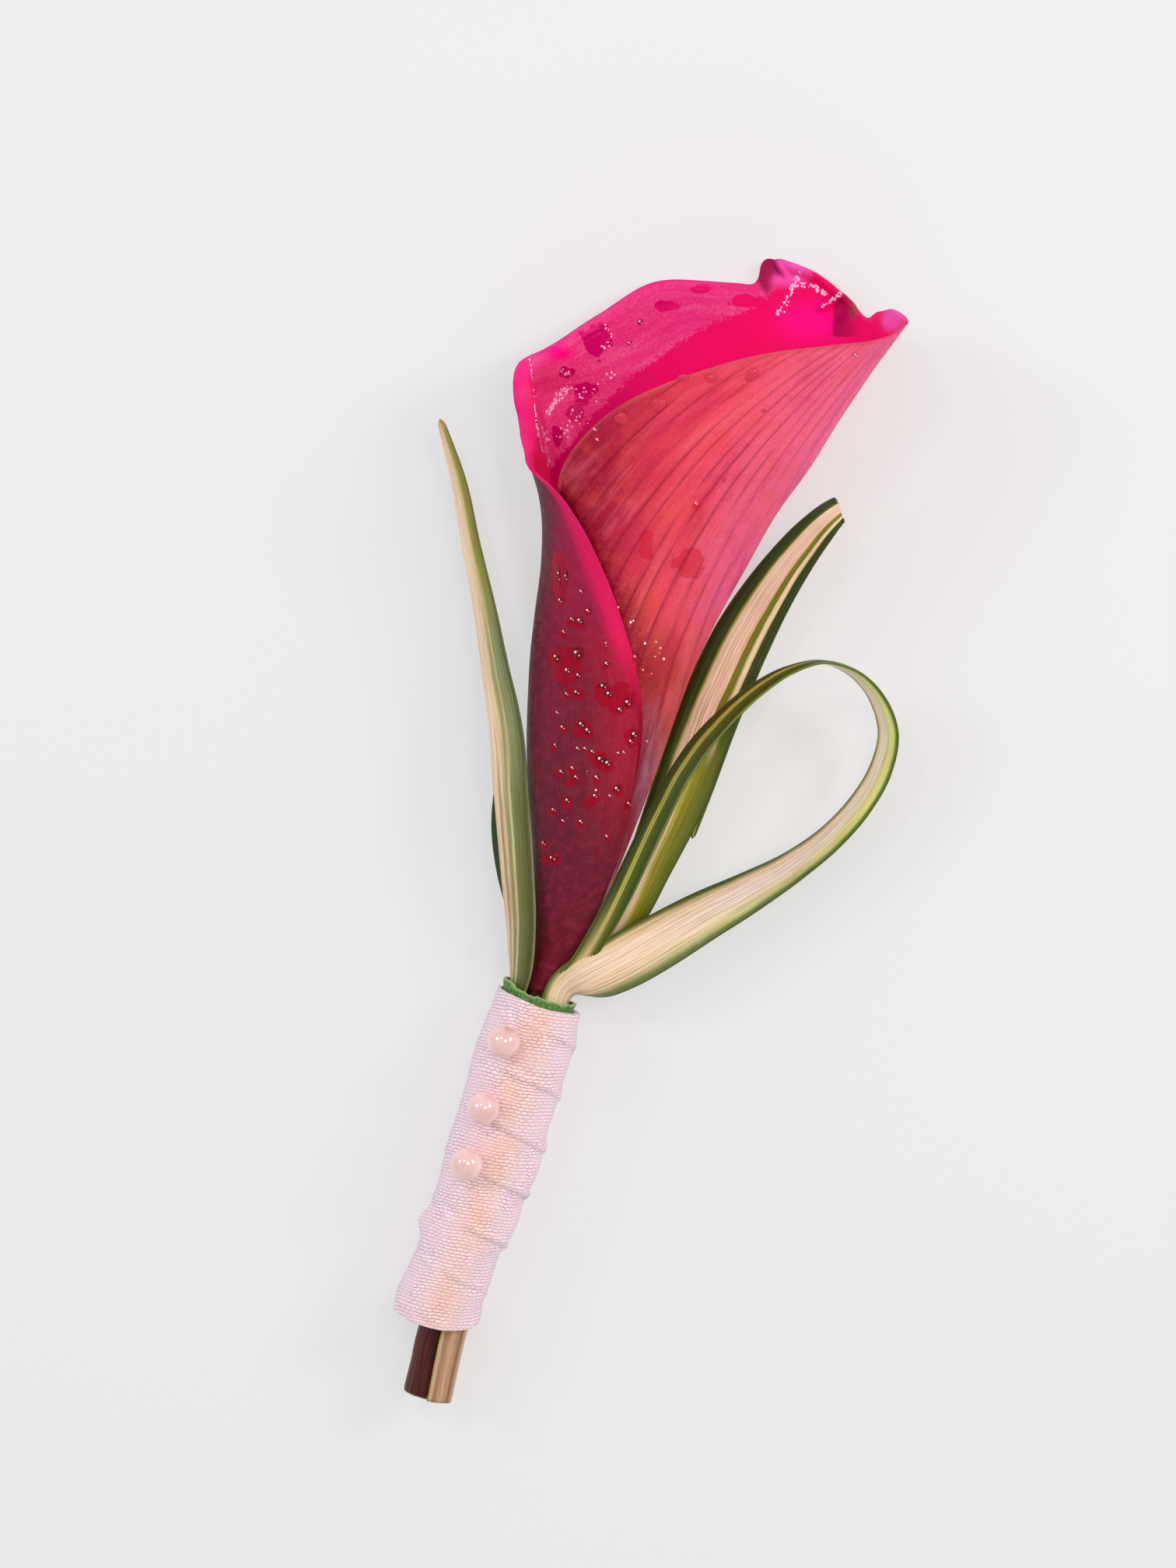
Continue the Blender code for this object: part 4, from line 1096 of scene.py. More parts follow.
def blade_surface(stations):
    """Middle surface of a blade through stations of x, y, z, width, roll and curl, and its length so far."""
    table = np.array(stations, float)
    chords = np.linalg.norm(np.diff(table[:, :3], axis=0), axis=1)
    knots = np.concatenate(([0.0], np.cumsum(chords)))
    at = np.linspace(0.0, knots[-1], int(knots[-1] / BLADE_STEP))
    rows = smooth(at, knots, table)
    path = rows[:, :3]
    width, roll, curl = rows[:, 3], np.radians(rows[:, 4]), rows[:, 5]
    tangent = unit(np.gradient(path, at, axis=0))
    side = level_sides(tangent)
    up = np.cross(side, tangent)
    across = np.cos(roll)[:, None] * side + np.sin(roll)[:, None] * up
    normal = np.cross(across, tangent)
    curl = np.where(np.abs(curl) < 1e-3, 1e-3, curl)[:, None]
    end = np.clip((knots[-1] - at) / np.maximum(width, BLADE_END_LEAST), 0.0, 1.0)
    width = width * np.sqrt(1 - (1 - end) ** 2 * BLADE_END_ROUND)
    reach = np.linspace(-0.5, 0.5, BLADE_COLUMNS)[None, :] * width[:, None]
    sideways = np.sin(curl * reach) / curl
    inward = (1 - np.cos(curl * reach)) / curl
    surface = path[:, None] + sideways[..., None] * across[:, None] - inward[..., None] * normal[:, None]
    return surface, at


def make_blade(name, stations, look, slot, node):
    surface, at = blade_surface(stations)
    share = np.linspace(0.0, 1.0, surface.shape[1])[None, :]
    edge = fade(np.minimum(share, 1 - share), 0.0, 0.12)
    thickness = BLADE_EDGE + (BLADE_MIDDLE - BLADE_EDGE) * edge
    relief = RIDGE_RELIEF * np.cos(2 * math.pi * RIDGE_COUNT * share) * edge
    uv = np.stack(np.broadcast_arrays(share, at[:, None]), axis=-1)
    piece = slab(name, surface, thickness, look, uv, relief=relief, floor=FLOOR_GAP)
    return place(face_outward(piece), slot, node)


def left_blade():
    return (
        held(-3.0, 150, 3.3, 3.0),
        held(-0.5, 150, 3.3, 3.1),
        (-3.3, 2.2, 7.7, 4.1, 50, 0.2),
        (-4.75, 7.8, 9.0, 4.6, 38, 0.13),
        (-7.2, 14.6, 9.6, 4.5, 24, 0.1),
        (-10.7, 23.6, 10.0, 4.4, 14, 0.08),
        (-13.1, 29.8, 9.5, 4.3, 10, 0.08),
        (-14.75, 33.3, 8.9, 4.0, 10, 0.08),
        (-16.5, 36.6, 8.1, 3.6, 10, 0.08),
        (-20.35, 44.1, 6.7, 2.9, 10, 0.08),
        (-24.25, 51.1, 6.0, 2.4, 10, 0.08),
        (-28.45, 58.9, 5.8, 1.9, 8, 0.06),
        (-31.1, 62.9, 6.0, 1.3, 6, 0.0),
        (-32.6, 65.1, 6.1, 0.9, 5, 0.0),
    )


def left_rear_blade():
    return (
        held(-3.0, 205, 3.3, 2.3),
        held(-0.5, 205, 3.3, 2.4),
        (-3.6, 2.6, 4.2, 2.5, 98, 0.2),
        (-5.6, 7.8, 4.6, 2.8, 76, 0.12),
        (-8.5, 13.4, 4.8, 2.8, 50, 0.08),
        (-11.0, 19.0, 4.7, 2.2, 38, 0.05),
        (-12.9, 25.0, 4.5, 0.6, 30, 0.0),
    )


def folded_blade():
    inner = dict(angle=-35, radius=INNER_LAYER)
    return (
        held(-50.6, width=3.6, middle_x=STEM_X + CUT_DRIFT, **inner),
        held(-43.0, width=3.9, middle_x=STEM_X, **inner),
        held(-30.0, width=4.0, middle_x=STEM_X, **inner),
        held(-15.0, width=4.0, middle_x=STEM_X, **inner),
        held(-3.0, width=4.0, middle_x=STEM_X, **inner),
        held(-0.5, width=3.9, middle_x=STEM_X, **inner),
        (2.35, 2.2, 3.1, 3.5, -122, 0.27),
        (5.1, 6.4, 3.9, 4.2, -72, 0.12),
        (7.4, 12.8, 5.0, 4.9, -22, 0.04),
        (8.3, 19.9, 5.1, 5.8, -6, 0.03),
        (9.2, 28.5, 4.7, 7.1, 0, 0.04),
        (9.55, 35.0, 4.6, 7.4, 2, 0.05),
        (9.8, 40.0, 4.8, 7.4, 2, 0.05),
        (10.35, 45.0, 5.3, 7.6, 0, 0.05),
        (11.1, 50.0, 6.0, 7.4, -4, 0.05),
        (12.2, 55.0, 6.8, 6.7, -8, 0.05),
        (13.7, 60.0, 7.7, 5.8, -12, 0.04),
        (15.35, 64.3, 8.4, 4.9, -16, 0.02),
        (17.0, 67.5, 8.6, 3.9, -18, 0.0),
        (17.8, 68.6, 7.9, 3.4, -18, 0.0),
        (17.5, 68.0, 6.9, 3.1, -16, 0.0),
        (16.4, 65.4, 5.7, 3.1, -12, 0.0),
        (14.9, 60.8, 4.7, 3.4, -8, 0.0),
        (13.6, 54.4, 3.8, 3.6, -4, 0.0),
        (12.6, 46.2, 3.1, 3.6, 0, 0.0),
        (12.1, 38.0, 2.8, 3.2, 0, 0.0),
        (12.1, 31.0, 2.8, 2.4, 0, 0.0),
        (12.5, 24.6, 2.9, 0.6, 0, 0.0),
    )


def loop_blade():
    outer = dict(angle=35, radius=OUTER_LAYER)
    inner = dict(angle=55, radius=INNER_LAYER, middle_x=STEM_X, heading=-1)
    return (
        held(-50.9, width=5.2, middle_x=CUT_DRIFT, **outer),
        held(-43.0, width=5.5, **outer),
        held(-30.0, width=5.6, **outer),
        held(-15.0, width=5.6, **outer),
        held(-3.0, width=5.6, **outer),
        held(-0.8, width=5.6, **outer),
        (2.95, 2.0, 7.75, 5.6, -45, 0.28),
        (5.15, 4.2, 8.7, 6.9, -24, 0.16),
        (8.3, 7.3, 8.7, 7.1, -6, 0.08),
        (12.05, 11.2, 7.8, 7.0, 10, 0.05),
        (16.35, 15.8, 6.6, 6.7, 24, 0.04),
        (20.95, 20.4, 5.8, 6.4, 40, 0.04),
        (25.45, 25.3, 5.3, 6.0, 53, 0.04),
        (28.8, 30.0, 5.2, 5.7, 58, 0.04),
        (31.0, 34.7, 5.4, 5.5, 60, 0.04),
        (32.1, 39.4, 5.9, 5.3, 62, 0.04),
        (31.6, 44.2, 6.9, 5.1, 66, 0.04),
        (28.95, 47.8, 8.3, 4.9, 73, 0.03),
        (25.4, 49.8, 9.8, 4.8, 82, 0.02),
        (21.3, 50.0, 11.2, 4.6, 93, 0.0),
        (17.5, 47.8, 12.4, 4.5, 104, -0.02),
        (14.3, 44.3, 13.2, 4.4, 114, -0.03),
        (11.7, 40.1, 13.6, 4.3, 121, -0.04),
        (9.7, 35.8, 13.6, 4.2, 127, -0.04),
        (8.4, 31.7, 13.3, 4.0, 130, -0.05),
        (7.4, 26.4, 12.6, 3.8, 136, -0.06),
        (6.6, 20.9, 11.7, 3.4, 148, -0.07),
        (5.8, 15.4, 10.8, 3.0, 166, -0.1),
        (4.8, 10.2, 10.0, 2.7, 188, -0.14),
        (3.4, 5.4, 8.9, 2.6, 206, -0.2),
        (1.6, 1.6, 8.0, 2.5, 214, -0.3),
        held(-0.8, width=2.4, **inner),
        held(-3.0, width=2.3, **inner),
    )


# Stripes of the blades: share of the way across, and colour. Each set of stripes takes over from the one
# before it between two distances along the blade.
EVERYWHERE = (0.0, 0.0)
AT_MOUTH = (32.0, 48.0)
CREAM = (255, 226, 200)
PALE = (255, 236, 200)
DARK_GREEN = (40, 58, 2)
OLIVE = (134, 134, 14)
LIME = (246, 250, 160)

FOLDED_FOOT = (
    (0.0, (160, 128, 60)), (0.3, (214, 168, 130)), (0.42, (176, 132, 92)), (0.6, (222, 180, 146)),
    (0.75, (170, 126, 88)), (1.0, (198, 166, 120)),
)
FOLDED_FACE = (
    (0.0, (66, 88, 14)), (0.03, DARK_GREEN), (0.21, (46, 66, 4)), (0.24, OLIVE), (0.27, (224, 206, 150)),
    (0.29, CREAM), (0.59, (255, 212, 184)), (0.615, OLIVE), (0.71, (122, 124, 6)), (0.735, PALE),
    (0.8, (255, 224, 176)), (0.825, (70, 88, 14)), (0.85, DARK_GREEN), (1.0, (50, 70, 10)),
)
FOLDED_LOW_FACE = (
    (0.0, (88, 110, 20)), (0.05, DARK_GREEN), (0.17, (58, 80, 6)), (0.21, (196, 190, 96)), (0.25, CREAM),
    (0.53, (252, 212, 180)), (0.56, (190, 190, 60)), (0.66, (150, 148, 22)), (0.8, (122, 128, 16)),
    (0.95, (92, 104, 14)), (1.0, (50, 70, 10)),
)
FOLDED_BACK = (
    (0.0, (60, 84, 34)), (0.3, (86, 108, 44)), (0.42, (206, 206, 146)), (0.62, (224, 214, 160)),
    (0.72, (110, 130, 60)), (1.0, (66, 92, 40)),
)
LOOP_FOOT = (
    (0.0, (150, 130, 52)), (0.06, (214, 190, 150)), (0.12, (166, 122, 92)), (0.3, (214, 170, 138)),
    (0.45, (190, 144, 112)), (0.55, (138, 98, 70)), (0.7, (216, 176, 146)), (1.0, (196, 158, 128)),
)
LOOP_LOW_FACE = (
    (0.0, (92, 112, 40)), (0.04, (84, 106, 30)), (0.08, (178, 168, 106)), (0.12, (240, 208, 160)),
    (0.3, CREAM), (0.66, (255, 222, 188)), (0.8, (222, 204, 156)), (0.88, (128, 142, 84)),
    (1.0, (76, 98, 46)),
)
LOOP_MIDDLE_FACE = (
    (0.0, (56, 82, 20)), (0.09, (70, 96, 30)), (0.14, (176, 172, 108)), (0.19, (255, 226, 192)),
    (0.55, (252, 234, 224)), (0.7, (242, 228, 190)), (0.86, (214, 212, 140)), (0.93, (110, 130, 64)),
    (1.0, (54, 80, 30)),
)
LOOP_ARC_FACE = (
    (0.0, (52, 78, 18)), (0.09, (70, 96, 24)), (0.14, (186, 180, 96)), (0.19, (255, 238, 196)),
    (0.5, (255, 246, 226)), (0.64, (240, 236, 160)), (0.74, LIME), (0.88, (240, 248, 138)),
    (0.93, (124, 150, 58)), (1.0, (58, 88, 26)),
)
LOOP_BACK = (
    (0.0, (96, 116, 30)), (0.07, DARK_GREEN), (0.34, (58, 82, 8)), (0.4, OLIVE), (0.45, (216, 208, 110)),
    (0.5, (150, 150, 40)), (0.54, (206, 200, 100)), (0.58, (88, 108, 14)), (0.92, (46, 70, 6)),
    (1.0, (128, 146, 50)),
)
LOOP_BACK_FOOT = (
    (0.0, (104, 124, 34)), (0.1, (74, 96, 14)), (0.2, (190, 184, 92)), (0.34, (255, 222, 164)),
    (0.6, (240, 206, 150)), (0.7, OLIVE), (0.84, (86, 104, 20)), (1.0, (62, 86, 18)),
)
LEFT_LOW_FACE = (
    (0.0, (236, 206, 168)), (0.14, (240, 212, 178)), (0.2, (170, 142, 96)), (0.28, (232, 210, 172)),
    (0.38, (140, 140, 84)), (0.48, (216, 208, 162)), (0.54, (124, 134, 74)), (0.75, (104, 108, 58)),
    (0.92, (78, 76, 38)), (1.0, (142, 146, 92)),
)
LEFT_MIDDLE_FACE = (
    (0.0, (246, 222, 192)), (0.24, (244, 214, 178)), (0.34, (222, 206, 158)), (0.44, (150, 156, 92)),
    (0.52, (208, 204, 148)), (0.58, (152, 160, 106)), (0.74, (144, 152, 106)), (0.92, (100, 116, 72)),
    (1.0, (128, 140, 84)),
)
LEFT_HIGH_FACE = (
    (0.0, (255, 232, 202)), (0.42, (255, 226, 186)), (0.52, (220, 210, 138)), (0.62, (172, 174, 88)),
    (0.86, (140, 148, 66)), (1.0, (150, 148, 80)),
)
LEFT_TIP_FACE = ((0.0, (246, 206, 160)), (1.0, (214, 170, 116)))
LEFT_BACK = ((0.0, (196, 184, 122)), (0.5, (120, 136, 76)), (1.0, (84, 108, 56)))
REAR_FACE = ((0.0, (46, 74, 40)), (0.5, (40, 66, 28)), (1.0, (58, 84, 42)))


def make_grass():
    folded_face = ((EVERYWHERE, FOLDED_FOOT), (AT_MOUTH, FOLDED_LOW_FACE), ((85.0, 94.0), FOLDED_FACE))
    folded_back = ((EVERYWHERE, FOLDED_FOOT), (AT_MOUTH, FOLDED_BACK))
    folded = grass_look("Folded grass blade", folded_face, folded_back)
    make_blade("folded_blade", folded_blade(), folded, "grass", "grass_blade_folded")
    loop_face = (
        (EVERYWHERE, LOOP_FOOT),
        (AT_MOUTH, LOOP_LOW_FACE),
        ((62.0, 78.0), LOOP_MIDDLE_FACE),
        ((84.0, 98.0), LOOP_ARC_FACE),
    )
    loop_back = ((EVERYWHERE, LOOP_FOOT), (AT_MOUTH, LOOP_BACK), ((158.0, 178.0), LOOP_BACK_FOOT))
    loop = grass_look("Looped grass blade", loop_face, loop_back)
    make_blade("looped_blade", loop_blade(), loop, "grass", "grass_loop")
    left_face = (
        (EVERYWHERE, LEFT_LOW_FACE),
        ((24.0, 38.0), LEFT_MIDDLE_FACE),
        ((44.0, 58.0), LEFT_HIGH_FACE),
        ((72.0, 77.0), LEFT_TIP_FACE),
    )
    left = grass_look("Left grass blade", left_face, ((EVERYWHERE, LEFT_BACK),))
    make_blade("left_blade", left_blade(), left, "grass", "grass_blade_left")
    rear = grass_look("Rear grass blade", ((EVERYWHERE, REAR_FACE),), ((EVERYWHERE, REAR_FACE),))
    make_blade("rear_blade", left_rear_blade(), rear, "grass_dark", "grass_blade_left_rear")


# Wraps and pins


def ribbon_ends(angle):
    """Top and bottom edge of the ribbon at each angle."""
    ends = np.array(RIBBON_ENDS)
    return np.moveaxis(smooth(from_below(angle), ends[:, 0], ends[:, 1:]), -1, 0)


def make_tape():
    angle = ring_angles(TAPE_SIDES)
    wave = 0.1 * np.sin(5 * angle + 1.0) + 0.08 * np.sin(13 * angle) + 0.05 * np.sin(31 * angle + 2)
    top = TAPE_SHOWS + wave + ribbon_ends(angle)[0] + 0.35 * fade(-np.cos(angle), 0.5, 1.0)
    crinkle = 0.06 * np.sin(47 * angle) * np.sin(3 * angle) + 0.04 * np.sin(83 * angle + 1)
    outer, inner = [], []
    for share in (*np.linspace(0, 0.12, 26), 0.4, 0.7, 1.0):
        y = top + (TAPE_END - top) * share
        swell = TAPE_FLARE * fade(y, -0.5, 1.8) + crinkle * fade(y, -1.5, 0.5)
        for radius, into in ((TAPE_BORE + TAPE_WALL, outer), (TAPE_BORE + 0.05, inner)):
            rings, _ = round_rings(0.0, HANDLE_Z, y, radius + swell, angle)
            into.append(rings)
    rings = np.array(outer + inner[::-1])
    turns = np.broadcast_to(angle / (2 * math.pi), rings.shape[:2])
    uv = np.stack((turns, rings[..., 1] * 0.1), axis=-1)
    edge = 0.8 * (1 - fade(top - rings[..., 1], 0.05, 0.3))
    piece = tube("crepe_tape", rings, tape_look(), uv, {"edge": edge}, looped=True)
    return place(face_outward(piece), "tape", "floral_tape")


def ribbon_laps(angle, y):
    """Height where each turn of the ribbon laps over the next one down, with its hem and gathers."""
    turns = np.interp(-y, -np.array(TURN_ENDS), np.arange(len(TURN_ENDS)))
    lap = (turns + angle / (2 * math.pi)) % 1.0
    strength = np.array(TURN_STRENGTH)[np.clip(np.round(turns).astype(int), 0, len(TURN_STRENGTH) - 1)]
    side = strength * (0.15 + 0.85 * fade(np.cos(angle - 0.35), -0.1, 0.95))
    step = WRAP_STEP * (lap - 0.5) + HEM_HEIGHT * bell(lap, HEM_AT, HEM_WIDTH)
    drop = WRAP_STEP * (0.5 - lap / LAP_DROP) + 0.03
    gather = 0.06 * np.sin(9 * angle + 3 * np.sin(y)) + 0.05 * np.sin(17 * angle - 0.7 * y)
    gather += 0.06 * np.sin(3.2 * y + 1.5 * np.sin(2 * angle))
    return np.where(lap < LAP_DROP, drop, step) * side + bell(np.minimum(lap, 1 - lap), 0.0, 0.2) * gather


def ribbon_lumps(angle, y):
    """Soft lumps of the wraps, and the bulge at the lower left."""
    lumps = 0.12 * np.sin(2 * angle + 0.55 * y) * np.sin(0.31 * y + 1.0) + 0.06 * np.sin(5 * angle + 0.9 * y)
    return lumps + BULGE_HEIGHT * bell(y, BULGE_Y, 1.5) * bell(from_below(angle), BULGE_ANGLE, 26.0)


def ribbon_surface(angle, share):
    """Outside of the ribbon at a share of the way from its top edge to its bottom edge."""
    top, bottom = ribbon_ends(angle)
    y = top + (bottom - top) * share
    swell = ribbon_laps(angle, y) + ribbon_lumps(angle, y)
    edges = np.array(RIBBON_EDGES)
    left, right = np.moveaxis(smooth(y, edges[:, 0], edges[:, 1:]), -1, 0)
    x = (left + right) / 2 + ((right - left) / 2 + swell) * np.cos(angle)
    z = np.maximum(HANDLE_Z + (RIBBON_BORE + RIBBON_WALL + swell) * np.sin(angle), 0.0)
    return np.stack((x, y, z), axis=-1)


def make_ribbon():
    angle = ring_angles(RIBBON_SIDES)
    rings = [ribbon_surface(angle, share) for share in np.linspace(0.0, 1.0, RIBBON_ROWS)]
    for share in np.linspace(1.0, 0.0, 24):
        y = ribbon_surface(angle, share)[:, 1]
        radius = RIBBON_BORE + (RIBBON_END_BORE - RIBBON_BORE) * fade(-y, -TAPE_END + 0.5, -TAPE_END + 2.2)
        rings.append(np.stack((radius * np.cos(angle), y, HANDLE_Z + radius * np.sin(angle)), axis=-1))
    rings = np.array(rings)
    round_it = np.broadcast_to(angle * (RIBBON_BORE + RIBBON_WALL), rings.shape[:2])
    uv = np.stack((round_it, rings[..., 1]), axis=-1)
    # Painted peach sheen along the top of the handle
    warm = bell(from_below(angle), PAINTED_SHEEN_ANGLE, PAINTED_SHEEN_SPREAD)
    values = {"warm": np.broadcast_to(warm, rings.shape[:2])}
    piece = tube("satin_wrap", rings, satin_look(), uv, values, looped=True)
    return place(face_outward(piece), "satin", "satin_ribbon")


def make_pearls():
    look, steel = pearl_look(), steel_look()
    pin = math.radians(PEARL_ANGLE)
    angle = ring_angles(PEARL_SIDES)
    rise = np.linspace(-0.995, 0.995, PEARL_ROWS)[:, None] * math.pi / 2
    flat, up = PEARL_RADIUS * np.cos(rise), PEARL_RADIUS * np.sin(rise)
    ball = np.stack(np.broadcast_arrays(flat * np.cos(angle), flat * np.sin(angle), up), axis=-1)
    uv = np.stack(np.broadcast_arrays(angle[None, :], rise), axis=-1)
    for number, y in enumerate(PEARL_Y, start=1):
        centre = (PEARL_DISTANCE * math.cos(pin), y, HANDLE_Z + PEARL_DISTANCE * math.sin(pin))
        piece = tube(f"pearl_{number}", ball + centre, look, uv)
        place(face_outward(piece), "pearl", f"pearl_head_{number}")
        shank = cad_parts[f"pin_shank_{number}"]
        shank.data.materials.clear()
        shank.data.materials.append(steel)


# Marks on the petals. A spot: pixel in the photograph at its middle, half its width and half its height in
# pixels.
WET_SPOTS = (
    (722, 735, 8, 32), (732, 852, 22, 27), (738, 893, 15, 8), (795, 900, 30, 19), (750, 937, 11, 12),
    (814, 947, 11, 13), (773, 977, 14, 17), (758, 1030, 7, 9), (735, 1006, 8, 7), (792, 1015, 7, 7),
    (712, 1105, 14, 8), (886, 722, 20, 22), (832, 700, 10, 16), (768, 435, 21, 25), (752, 503, 17, 16),
    (738, 531, 14, 11), (728, 478, 11, 9), (714, 560, 8, 16), (857, 394, 18, 8), (962, 388, 28, 9),
    (900, 372, 14, 6),
)
# Each drop below this pixel row also wets the petal: so much wider than the drop, and so many pixels lower
WET_TOP = 640
WET_SHARE = 1.6
WET_DROOP = 2
# Pink spots at the curl and the hook, partly painted glint sheen
PINK_SPOTS = ((1014, 352, 28, 18), (1149, 412, 15, 17))
HOT_SPOTS = ((716, 454, 30, 15), (1046, 414, 70, 40))
OLIVE_SPOTS = ((812, 800, 30, 56), (842, 850, 32, 56))
# Painted shaded underside of the rim beside the pleat
SHADED_UNDERSIDE_SPOTS = ((1098, 395, 8, 20),)
# Each: its spots, where they fade in, how strong they are, and the layer that they are on
COLOUR_SPOTS = {
    "pink": (PINK_SPOTS, -0.3, 0.5, 0.75, "outer"),
    "hot": (HOT_SPOTS, 0.0, 0.8, 1.0, "outer"),
    "olive": (OLIVE_SPOTS, -0.4, 0.8, 1.0, "inner"),
    "shaded_underside": (SHADED_UNDERSIDE_SPOTS, -0.1, 0.5, 0.7, "outer"),
}
# The front veins: pixel of the tip, degrees from one vein to the next, how many degrees they bend for each
# pixel, and the number of the one that points left. The bend ends within VEIN_STRAIGHT degrees, counted from
# VEIN_HOLD degrees for each pixel. Right of VEIN_SIDE degrees the numbers go on evenly, and over the angles
# of VEIN_CHANGE the VEINS veins of the whole sheet give way to the front ones.
VEINS = 27
TIP_PIXEL = (1166, 398)
VEIN_SPREAD = 4.9
VEIN_BEND = 0.064
VEIN_START = 26
VEIN_SIDE = 8.0
VEIN_HOLD = 0.04
VEIN_STRAIGHT = 55.0
VEIN_CHANGE = (-150.0, -30.0)
# Pixels on the lower border of the dusty film, on the edge of the outer layer, and on the crease of the left
# lobe
DUST_LINE = (
    (640, 640), (705, 600), (740, 562), (765, 530), (790, 505), (830, 470), (870, 442), (905, 420),
    (950, 404), (985, 385), (1005, 366), (1030, 350), (1060, 350), (1200, 350),
)
OVERLAP_LINE = (
    (688, 597), (704, 608), (745, 658), (772, 711), (795, 779), (816, 840), (826, 875), (826, 940),
    (819, 986), (811, 1032), (803, 1079), (789, 1125), (769, 1168), (749, 1224),
)
LIP_LINE = ((681, 460), (684, 485), (688, 530), (692, 561), (698, 585), (706, 605))
# Pixel rows between which the lip of the left lobe shows, and the fall of the dusty film's border
LIP_TOP = 456
LIP_LOW = 640
DUST_FADE = 24.0
# Lilac veil beside the overlap, and the painted shade there: pixels from the edge, then where each starts, as
# pixel rows and as distance along
LILAC_REACH = (12.0, 32.0)
LILAC_TOP = (870.0, 960.0)
SHADE_REACH = (-4.0, 36.0)
SHADE_START = (34.0, 44.0)
# Width of the hot pink band on the outer layer: distance along, width.
BAND = (
    (18.0, 0.1), (30.0, 0.2), (36.0, 0.6), (39.0, 1.3), (42.0, 2.3), (46.0, 2.8), (51.0, 2.8), (55.0, 2.4),
    (59.0, 1.5), (63.0, 1.0), (100.0, 1.0),
)
# Water on the petals: pixel in the photograph, and half the width and half the length of each drop.
DROPS = (
    (721, 772, 0.4, 0.5), (719, 740, 0.35, 1.6), (728, 742, 0.3, 0.9), (747, 760, 0.25, 0.25),
    (756, 785, 0.35, 0.35), (736, 796, 0.4, 0.35), (746, 798, 0.5, 0.5), (725, 812, 0.3, 0.4),
    (716, 845, 0.55, 0.75), (743, 840, 0.75, 0.8), (730, 862, 0.5, 0.5), (744, 868, 0.45, 0.35),
    (779, 828, 0.12, 0.7), (816, 844, 0.25, 0.25), (780, 853, 0.35, 0.35), (776, 882, 0.75, 0.4),
    (783, 892, 0.6, 0.45), (807, 903, 0.55, 0.6), (797, 912, 0.4, 0.4), (742, 890, 0.6, 0.35),
    (729, 892, 0.4, 0.3), (717, 916, 0.4, 0.22), (724, 935, 0.5, 0.4), (748, 931, 0.5, 0.5),
    (756, 939, 0.5, 0.6), (815, 944, 0.5, 0.5), (811, 953, 0.35, 0.4), (832, 953, 0.2, 0.2),
    (714, 958, 0.25, 0.5), (743, 962, 0.35, 0.3), (752, 962, 0.3, 0.25), (762, 966, 0.45, 0.3),
    (795, 968, 0.22, 0.2), (802, 967, 0.22, 0.2), (772, 976, 0.6, 0.6), (781, 981, 0.5, 0.55),
    (736, 987, 0.3, 0.3), (722, 992, 0.4, 0.35), (741, 999, 0.4, 0.35), (767, 999, 0.4, 0.35),
    (793, 1014, 0.5, 0.5), (730, 1029, 0.4, 0.5), (765, 1023, 0.45, 0.35), (784, 1023, 0.25, 0.22),
    (808, 1033, 0.4, 0.4), (712, 1041, 0.45, 0.3), (724, 1055, 0.25, 0.25), (747, 1056, 0.4, 0.35),
    (780, 1075, 0.22, 0.3), (700, 1084, 0.45, 0.4), (711, 1103, 0.75, 0.45), (734, 1246, 0.15, 0.2),
    (799, 538, 0.85, 0.75), (846, 520, 0.95, 0.85), (880, 487, 0.8, 0.5), (915, 486, 0.85, 0.6),
    (967, 482, 0.95, 0.75), (765, 552, 0.35, 0.3), (768, 565, 0.3, 0.25), (895, 647, 0.35, 0.28),
    (931, 617, 0.35, 0.35), (982, 528, 0.4, 0.3), (1100, 456, 0.4, 0.3), (823, 414, 0.4, 0.4),
    (809, 441, 0.35, 0.3), (722, 478, 0.35, 0.35), (732, 481, 0.3, 0.3), (685, 491, 0.22, 0.3),
    (690, 541, 0.28, 0.3), (692, 561, 0.22, 0.22),
)
# Fine droplets, pale as painted glints: pixel where a streak of them starts, pixel where it ends, spread in
# pixels, how many.
GLINT_SPRAY = (
    ((681, 462), (686, 500), 0.7, 60), ((686, 500), (690, 545), 0.7, 80), ((690, 545), (698, 582), 0.9, 70),
    ((699, 552), (706, 570), 4, 34), ((699, 572), (708, 603), 4, 40), ((703, 533), (716, 514), 2.5, 110),
    ((716, 514), (729, 498), 4, 130), ((720, 476), (734, 481), 3, 34), ((733, 495), (760, 512), 9, 26),
    ((728, 528), (752, 540), 9, 34), ((722, 560), (742, 545), 7, 26), ((755, 507), (790, 480), 6, 26),
    ((775, 415), (786, 437), 3, 18), ((770, 455), (782, 440), 3, 10), ((1009, 392), (1020, 366), 2.5, 60),
    ((1018, 370), (1030, 352), 4, 70), ((1030, 366), (1048, 368), 3, 30), ((1046, 368), (1063, 380), 3, 60),
    ((996, 404), (1008, 396), 5, 18), ((1056, 396), (1072, 385), 1.5, 26),
    ((1072, 385), (1083, 374), 2.5, 46), ((712, 950), (790, 1040), 20, 8), ((815, 790), (850, 880), 22, 26),
    ((946, 876), (964, 874), 3, 8),
)
# Drops: height as a share of half the width, how deep they sink in, and their rings and sides
DROP_HEIGHT = 0.42
DROP_SINK = 0.04
DROP_GRID = (6, 16)
# Bright beads on each drop, white as painted glints: place from its middle, and size. Then the share of the
# drop's size that a bead takes, its least size, the share of the drop's height that it sits at, and its rings
# and sides.
GLINT_BEADS = ((-0.25, -0.2, 1.0), (0.3, 0.3, 0.6))
BEAD_SHARE = 0.2
BEAD_LEAST = 0.075
BEAD_LIFT = 0.75
BEAD_GRID = (3, 8)
# Drops inside this box of pixels have no beads: left, top, right, bottom.
PLAIN_DROPS = (780, 455, 1100, 620)
# Drops past this angle are on the front of the bloom
FRONT_TURN = -60


